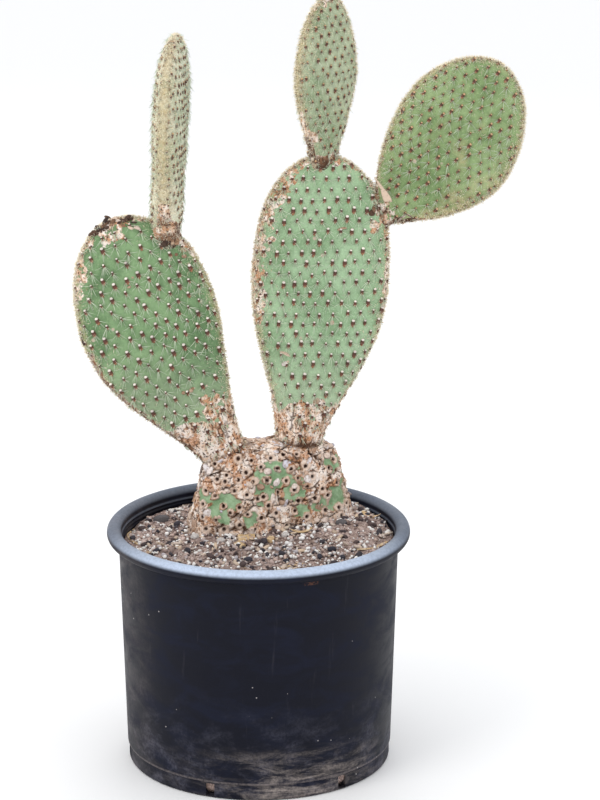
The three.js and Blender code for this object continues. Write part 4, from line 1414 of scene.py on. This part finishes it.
class CACTUS_OT_soil(bpy.types.Operator):
    """Makes the soil and the crumbs, grit and white grains on it"""

    bl_idname = "cactus.soil"
    bl_label = "Soil"

    def execute(self, context):
        low, high = (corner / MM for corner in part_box("soil"))
        outer = high.x
        edge = outer - 1.0
        rows, columns = 96, 420
        turn = full_turn(columns)
        r, a = np.meshgrid(np.linspace(1.2, edge, rows), turn, indexing="ij")
        flat = rings(r, a, 0)
        x, y = flat[..., 0], flat[..., 1]
        clod, _, number = cells(flat, 5.5, 31)
        z = soil_height(x, y) + wavy(flat, 24, 32, 3) * 1.1 + (0.45 - clod) * 1.5 * (number > 0.35)
        radii = np.array([outer - 0.6, outer - 6.8, outer - 12])[:, None]
        heights = np.array([soil_level() - 8, low.z + 6, low.z])[:, None]
        points = np.concatenate([np.stack([x, y, z], -1), rings(radii, turn, heights)])
        rows = len(points)
        quads, tris = ring_faces(rows, columns)
        ends = [[0, 0, z[0].mean()], [0, 0, low.z]]
        points = np.concatenate([points.reshape(-1, 3), ends])
        material = self.finish(context.scene.pot_colours)
        piece = make_piece("soil_bed", points, quads[:, ::-1], tris[:, ::-1], material)
        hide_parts("soil")
        self.crumbs(edge)
        return {"FINISHED"}

    def finish(self, p):
        """Potting soil: brown grains, darker patches, pale crumbs, white specks."""
        n = Finish("potting soil", 0.95, Specular_IOR_Level=0.2)
        grain = n.noise(1.8, 5, rough=0.75)
        base = n.mix(n.step(grain, 0.35, 0.65), p.soil_dark, p.soil)
        base = n.mix(n.step(n.noise(14, 3), 0.45, 0.65, 0, 0.6), base, display(134, 112, 100))
        base = n.mix(n.step(n.cell(3.1), 0.2, 0.12, 0, 0.8), base, display(168, 150, 138))
        white = n.cell(4.7, place=n.mapped(turn=(0.4, 0.2, 0.9)))
        base = n.mix(n.step(white, 0.12, 0.08), base, p.perlite)
        return n.end(base, n.bump(grain, 1.2))

    def crumbs(self, edge):
        """Loose crumbs, spread evenly over the disc: radius edge*sqrt(random)."""
        random = np.random.default_rng(77)
        swarms = []
        # How many, smallest and largest half size, proportions, palette tones,
        # and the points round and rows up a crumb: fine soil, clods, white
        # grains, flat chips and dark grit.
        kinds = (
            (3200, 0.6, 1.5, (1.0, 0.85, 0.75), (0.2, 0.78), 6, 2),
            (560, 1.4, 3.2, (1.0, 0.8, 0.65), (0.2, 0.8), 7, 3),
            (1300, 1.0, 3.2, (1.0, 0.85, 0.75), (0.87, 1.0), 6, 2),
            (200, 1.8, 5.0, (1.2, 0.55, 0.3), (0.77, 0.85), 6, 2),
            (300, 1.8, 4.6, (1.0, 0.8, 0.7), (0.0, 0.2), 8, 3),
        )
        for index, (count, small, large, shape, tones, around, rows) in enumerate(kinds):
            for variant in range(2):
                half = count // 2
                r = (edge - 2) * np.sqrt(random.random(half))
                a = random.uniform(0, 2 * math.pi, half)
                places = rings(r, a, 0)
                size = small + (large - small) * random.random(half) ** 2
                places[:, 2] = soil_height(places[:, 0], places[:, 1]) + size * 0.3 + 0.3
                out = unit(np.array([0, 0, 1]) + random.normal(0, 0.45, (half, 3)))
                axes = axes_to(out, random.normal(0, 1, (half, 3)))
                crumb = lump(around, rows, 0.4, index * 2 + variant + 1)
                scale = size[:, None] * np.array([shape])
                swarms.append(repeat(crumb, places, axes, scale, random.uniform(*tones, half)))
        make_swarm("soil_crumbs", swarms, bpy.data.materials["soil crumbs"])


class CACTUS_OT_litter(bpy.types.Operator):
    """Makes the chips, stones, straws and dry leaves that lie on the soil"""

    bl_idname = "cactus.litter"
    bl_label = "Litter"

    # Material slot, spacing of the points, power of the oval, and roughness.
    KINDS = {
        "wood_chip": ("chip", 0.7, 3.2, 0.5),
        "stone": (None, 0.6, 2.3, 0.5),
        "straw": ("straw", 0.45, 2.0, 0.12),
        "dry_leaf": ("straw", 0.5, 2.2, 0.15),
    }
    STONES = {"dark_stone": display(96, 92, 94), "pale_stone": display(208, 202, 198)}

    def execute(self, context):
        wood = self.wood(context.scene.pot_colours)
        stones = {key: self.stone(key, tone) for key, tone in self.STONES.items()}
        for node in sorted(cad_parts):
            kind = node.rstrip("_0123456789")
            if kind not in self.KINDS:
                continue
            slot, pitch, power, rough = self.KINDS[kind]
            if kind == "stone":
                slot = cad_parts[node].data.materials[0].name.split(".")[0]
            skin = Skin(node, pitch, power=power)
            seed = sum(map(ord, node))
            skin.move(wavy(skin.points, 4.5, seed, 3) * rough)
            piece = skin.to_piece(node + "_fine", stones.get(slot, wood), {})
            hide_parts(node)
        self.cover_roots()
        return {"FINISHED"}

    def wood(self, p):
        """Chips and straw: pale wood with a grain along it and bleached spots."""
        n = Finish("dry wood", 0.85)
        grain = n.noise(1.4, 4, place=n.mapped((0.3, 1, 1)))
        base = n.mix(n.step(grain, 0.35, 0.65), darker(p.chip, 0.62), p.chip)
        base = n.mix(n.step(n.noise(6), 0.5, 0.7, 0, 0.6), base, display(232, 214, 184))
        return n.end(base, n.bump(grain, 0.4))

    def stone(self, name, tone):
        """Stone of one colour with fine darker specks."""
        n = Finish(name.replace("_", " "), 0.85)
        speck = n.noise(1.2, 4, rough=0.7)
        base = n.mix(n.step(speck, 0.35, 0.65), darker(tone, 0.7), tone)
        return n.end(base, n.bump(speck, 0.4))

    def cover_roots(self):
        """The roots keep their CAD meshes and get a bark material."""
        n = Finish("root bark", 0.95)
        grain = n.noise(3, 4)
        material = n.end(n.mix(grain, display(96, 70, 52), display(170, 138, 108)), n.bump(grain, 0.6))
        for node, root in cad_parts.items():
            if node.startswith("root_"):
                for slot in root.material_slots:
                    slot.material = material


class CACTUS_OT_pot(bpy.types.Operator):
    """Makes the pot: a turned profile with slots cut through its foot"""

    bl_idname = "cactus.pot"
    bl_label = "Pot"

    def profile(self, s):
        """Points (radius, height) of the pot's section, from the middle of its
        underside round the rim to the middle of its floor.  The side is
        straight, the foot's edge and the rim are arcs, and inside, over the
        soil, three rings stand out as 0.9*exp(-(distance in height)^2)."""
        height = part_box("pot")[1].z / MM
        mouth, taper, wall, tube = (v / MM for v in (s.mouth_radius, s.taper, s.wall, s.rim_tube))
        foot, inset = s.foot_height / MM, s.foot_inset / MM
        under = height - 2 * tube

        def side(z):
            """Outer radius of the side at a height."""
            return mouth - taper * (under - z) / (under - foot)

        def arc(x, y, r, start, end, steps):
            """Points of an arc of radius r about (x, y), angles in degrees."""
            a = np.radians(np.linspace(start, end, steps))
            return [(x + r * math.cos(t), y + r * math.sin(t)) for t in a]

        outer_foot = side(foot) - inset
        inner_foot = outer_foot - 12
        pad, pad_edge, raised, floor_top = 44, 49, 5, 8
        foot_round = 3
        points = [(0.6, 0), (20, 0), (pad, 0), (pad_edge, raised)]
        points += [(inner_foot - 2.5, raised), (inner_foot, 0.6), (inner_foot + 0.6, 0)]
        points += arc(outer_foot - foot_round, foot_round, foot_round, -90, 0, 6)
        points += [(outer_foot, z) for z in (6, 10, foot - 2.2, foot - 0.9)]
        points += [(side(foot) - 0.35, foot - 0.25), (side(foot), foot + 0.4)]
        points += [(side(z), z) for z in np.linspace(foot + 3, under - 2, 28)]
        points += [(side(under) + 0.1, under - 0.6)]
        points += arc(mouth - wall + tube, height - tube, tube, -92, 180, 26)
        level = soil_level()
        inside = np.linspace(height - tube - 1, level - 2, 26)
        rings_at = level + 4 * (np.arange(3) + 0.6)
        ripple = 0.9 * np.exp(-((inside[:, None] - rings_at) ** 2)).sum(1)
        points += [(side(z) - wall - r, z) for z, r in zip(inside, ripple)]
        points += [(side(z) - wall, z) for z in np.linspace(level - 10, 12, 6)]
        corner = side(floor_top) - wall
        points += [(corner - 0.6, floor_top + 0.6), (corner - 1.6, floor_top)]
        points += [(pad_edge, floor_top), (pad, 3), (0.6, 3)]
        return np.array(points)

    def execute(self, context):
        s, p = context.scene.pot_sizes, context.scene.pot_colours
        section = self.profile(s)
        rows, columns = len(section), 288
        points = rings(section[:, 0:1], full_turn(columns), section[:, 1:2])
        quads, tris = ring_faces(rows, columns)
        ends = np.array([[0, 0, section[0, 1]], [0, 0, section[-1, 1]]])
        points = np.concatenate([points.reshape(-1, 3), ends])
        piece = make_piece("pot_body", points, quads, tris, self.finish(p))
        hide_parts("pot")
        self.cut_slots(context, piece, s)
        return {"FINISHED"}

    def cut_slots(self, context, piece, s):
        """Takes a box out of the foot for each slot.  A box reaches from 21 mm
        inside the side's outer face to 5 mm outside it."""
        boxes, quads = [], []
        outer = (s.mouth_radius - s.taper) / MM
        corner = np.array([[x, y, z] for z in (0, 1) for y in (0, 1) for x in (0, 1)], float)
        faces = np.array(
            [[0, 2, 3, 1], [4, 5, 7, 6], [0, 1, 5, 4], [2, 6, 7, 3], [0, 4, 6, 2], [1, 3, 7, 5]]
        )
        inside, depth = 21, 26
        box = (corner - [0.5, 0, 0]) * [s.slot_width / MM, -depth, s.slot_height / MM]
        box = box + [0, inside - outer, s.slot_sill / MM]
        for index in range(s.slot_count):
            angle = s.slot_start + index * 2 * math.pi / s.slot_count
            cos, sin = math.cos(angle), math.sin(angle)
            boxes.append(box @ np.array([[cos, sin, 0], [-sin, cos, 0], [0, 0, 1]]))
            quads.append(faces[:, ::-1] + 8 * index)
        cutter_mesh = bpy.data.meshes.new("slot_cutter")
        cutter_mesh.from_pydata((np.concatenate(boxes) * MM).tolist(), [], np.concatenate(quads).tolist())
        cutter = bpy.data.objects.new("slot_cutter", cutter_mesh)
        context.scene.collection.objects.link(cutter)
        cut = piece.modifiers.new("slots", "BOOLEAN")
        cut.operation, cut.object, cut.solver = "DIFFERENCE", cutter, "EXACT"
        context.view_layer.update()
        result = bpy.data.meshes.new_from_object(piece.evaluated_get(context.evaluated_depsgraph_get()))
        piece.modifiers.clear()
        old, piece.data = piece.data, result
        bpy.data.meshes.remove(old)
        bpy.data.objects.remove(cutter)
        bpy.data.meshes.remove(cutter_mesh)
        result.set_sharp_from_angle(angle=math.radians(42))

    def finish(self, p):
        """Moulded plastic: a bleached top to the rim with a painted sheen that is
        brightest at the front, dried soil in smears low on the side, a painted
        reflection in wisps down the left edge, fine scratches and a few white specks.
        x, y and z are in metres, as the object's coordinates are."""
        n = Finish("nursery pot plastic", 0.52, Specular_IOR_Level=0.13)
        axis = n.add("ShaderNodeSeparateXYZ", Vector=n.place)
        x, y, z = (axis.outputs[k] for k in "XYZ")
        normal = n.add("ShaderNodeNewGeometry").outputs["Normal"]
        facing = n.add("ShaderNodeSeparateXYZ", Vector=normal).outputs["Z"]
        smear = n.noise(34, 5, place=n.mapped((0.7, 0.7, 1.5)), rough=0.62, bend=0.6)
        fine = n.noise(3.0, 5, rough=0.7)
        streak = n.noise(7, 4, place=n.mapped((1, 1, 0.12)), rough=0.6)
        base = n.mix(n.step(smear, 0.4, 0.7, 0, 0.5), p.plastic, display(26, 31, 50))
        wisp = n.noise(30, 7, place=n.mapped((1, 1, 1.5), (0.5, 0.3, 0)), rough=0.68, bend=0.3)
        haze = n.times(n.step(z, 0.12, 0.0), n.step(wisp, 0.44, 0.7))
        base = n.mix(n.times(haze, n.step(fine, 0.3, 0.6, 0.1, 0.55)), base, display(92, 92, 106))
        brush = n.noise(20, 8, place=n.mapped((0.4, 0.4, 1.7)), rough=0.74, bend=0.5)
        middle = n.within(x, 0.035, 0.11, 0.015, 0.12)
        low = n.times(n.step(z, 0.066, 0.014), middle)
        patch = n.times(low, n.step(brush, 0.42, 0.74, 0, 0.95))
        base = n.mix(n.times(patch, n.step(fine, 0.25, 0.7, 0.35, 1.0)), base, p.dust)
        # Painted reflection: a brown-grey band in wisps down the left edge of the pot.
        left = n.times(n.step(x, -0.09, -0.142), n.step(wisp, 0.36, 0.74, 0.04, 0.4))
        base = n.mix(n.times(left, n.step(fine, 0.3, 0.65, 0.4, 1.0)), base, display(116, 104, 100))
        base = n.mix(n.step(streak, 0.62, 0.8, 0, 0.14), base, display(80, 78, 86))
        rim_edge = n.times(n.step(z, 0.2215, 0.2225), n.step(z, 0.2275, 0.2265))
        stain = n.times(n.within(x, 0.052, 0.0075, 0.0055), rim_edge, n.step(y, 0, -0.05))
        base = n.mix(n.times(stain, n.step(fine, 0.42, 0.62, 0.0, 0.75)), base, display(104, 68, 52))
        line = n.times(n.step(z, 0.0195, 0.018), n.step(z, 0.0155, 0.017))
        base = n.mix(n.times(line, n.step(fine, 0.3, 0.6, 0.05, 0.4)), base, display(140, 130, 128))
        specks = n.times(n.step(n.cell(13), 0.06, 0.045), n.step(n.noise(70, 2), 0.52, 0.6))
        base = n.mix(specks, base, display(170, 166, 166))
        # Painted sheen: the rim's upward faces are lightened most at the front, a painted reflection over
        # the real sun bleach.
        front = n.step(y, -0.02, -0.135, 0.26, 1.0)
        top = n.times(n.step(z, 0.2262, 0.234), n.step(facing, -0.05, 0.6), front)
        base = n.mix(n.times(top, n.step(fine, 0.3, 0.65, 0.78, 1.0)), base, p.bleach_and_painted_sheen)
        rough = n.step(smear, 0.35, 0.7, 0.44, 0.66)
        return n.end(base, n.bump(n.math("ADD", fine, streak), 0.12, 0.6), rough)


# -------------------------------------------------------------- stage, panel


class CACTUS_OT_stage(bpy.types.Operator):
    """Makes the floor, the lights and the camera"""

    bl_idname = "cactus.stage"
    bl_label = "Stage"

    FLOOR_HALF = 60  # metres
    CAMERA_PLACE = (0.041008, -3.4, 1.379839)  # metres
    CAMERA_TILT = math.radians(73.4371)  # up from straight down
    CAMERA_LENS = 163.0506

    # Place, power, width in metres and tint of each lamp.
    LAMPS = {
        "key": ((-1.6, -1.5, 2.2), 20, 1.2, (1, 0.985, 0.96)),
        "fill": ((1.7, -1.3, 1.3), 2, 1.6, (0.95, 0.98, 1)),
        "back": ((0.3, 1.9, 1.9), 10, 1.4, (1, 1, 1)),
    }

    def execute(self, context):
        self.floor(context.scene)
        world = bpy.data.worlds.new("studio")
        world.use_nodes = True
        backdrop = world.node_tree.nodes["Background"]
        backdrop.inputs["Color"].default_value = (0.97, 0.98, 1.0, 1)
        backdrop.inputs["Strength"].default_value = 1.06
        context.scene.world = world
        context.scene.view_settings.view_transform = "Standard"
        for name, facts in self.LAMPS.items():
            self.lamp(name, *facts)
        camera = bpy.data.objects.new("camera", bpy.data.cameras.new("camera"))
        camera.data.lens = self.CAMERA_LENS
        camera.data.clip_end = 200
        camera.location = self.CAMERA_PLACE
        camera.rotation_euler = (self.CAMERA_TILT, 0, 0)
        context.scene.collection.objects.link(camera)
        context.scene.camera = camera
        return {"FINISHED"}

    def floor(self, scene):
        """A flat pale square that reaches past the view on every side."""
        far = self.FLOOR_HALF
        corners = [(-far, -far, 0), (far, -far, 0), (far, far, 0), (-far, far, 0)]
        mesh = bpy.data.meshes.new("floor")
        mesh.from_pydata(corners, [], [(0, 1, 2, 3)])
        n = Finish("pale floor", 0.9, Specular_IOR_Level=0.1)
        mesh.materials.append(n.end(grey(0.94)))
        floor = bpy.data.objects.new("floor", mesh)
        scene.collection.objects.link(floor)

    def lamp(self, name, place, power, size, tint):
        """A soft square lamp at a place, turned to the plant's middle."""
        light = bpy.data.lights.new(name, "AREA")
        light.energy, light.size, light.color = power, size, tint
        lamp = bpy.data.objects.new(name, light)
        lamp.location = place
        aim = (Vector((0, 0, 0.4)) - Vector(place)).to_track_quat("-Z", "Y")
        lamp.rotation_euler = aim.to_euler()
        lamp.visible_camera = False
        bpy.context.scene.collection.objects.link(lamp)


class CACTUS_PT_panel(bpy.types.Panel):
    """Lists the plant's pieces, sizes and colours"""

    bl_idname = "CACTUS_PT_panel"
    bl_label = "Potted cactus"
    bl_space_type = "VIEW_3D"
    bl_region_type = "UI"
    bl_category = "Cactus"

    def draw(self, context):
        for operator in OPERATORS:
            self.layout.operator(operator.bl_idname)
        for key, group in GROUPS.items():
            self.layout.label(text=key.replace("_", " ").capitalize())
            for name in group.__annotations__:
                self.layout.prop(getattr(context.scene, key), name)


OPERATORS = (
    CACTUS_OT_finishes,
    CACTUS_OT_pot,
    CACTUS_OT_soil,
    CACTUS_OT_litter,
    CACTUS_OT_trunk,
    CACTUS_OT_big_paddles,
    CACTUS_OT_upper_paddles,
    CACTUS_OT_marks,
    CACTUS_OT_stage,
)
GROUPS = {
    "cactus_sizes": CactusSizes,
    "cactus_colours": CactusColours,
    "pot_sizes": PotSizes,
    "pot_colours": PotColours,
}


def register():
    for cls in (*GROUPS.values(), *OPERATORS, CACTUS_PT_panel):
        bpy.utils.register_class(cls)
    for key, group in GROUPS.items():
        setattr(bpy.types.Scene, key, PointerProperty(type=group))


def unregister():
    for key in GROUPS:
        delattr(bpy.types.Scene, key)
    for cls in (CACTUS_PT_panel, *OPERATORS, *GROUPS.values()):
        bpy.utils.unregister_class(cls)


def main():
    """Makes every piece in order."""
    register()
    for operator in OPERATORS:
        group, name = operator.bl_idname.split(".")
        getattr(getattr(bpy.ops, group), name)()


if __name__ == "__main__":
    main()
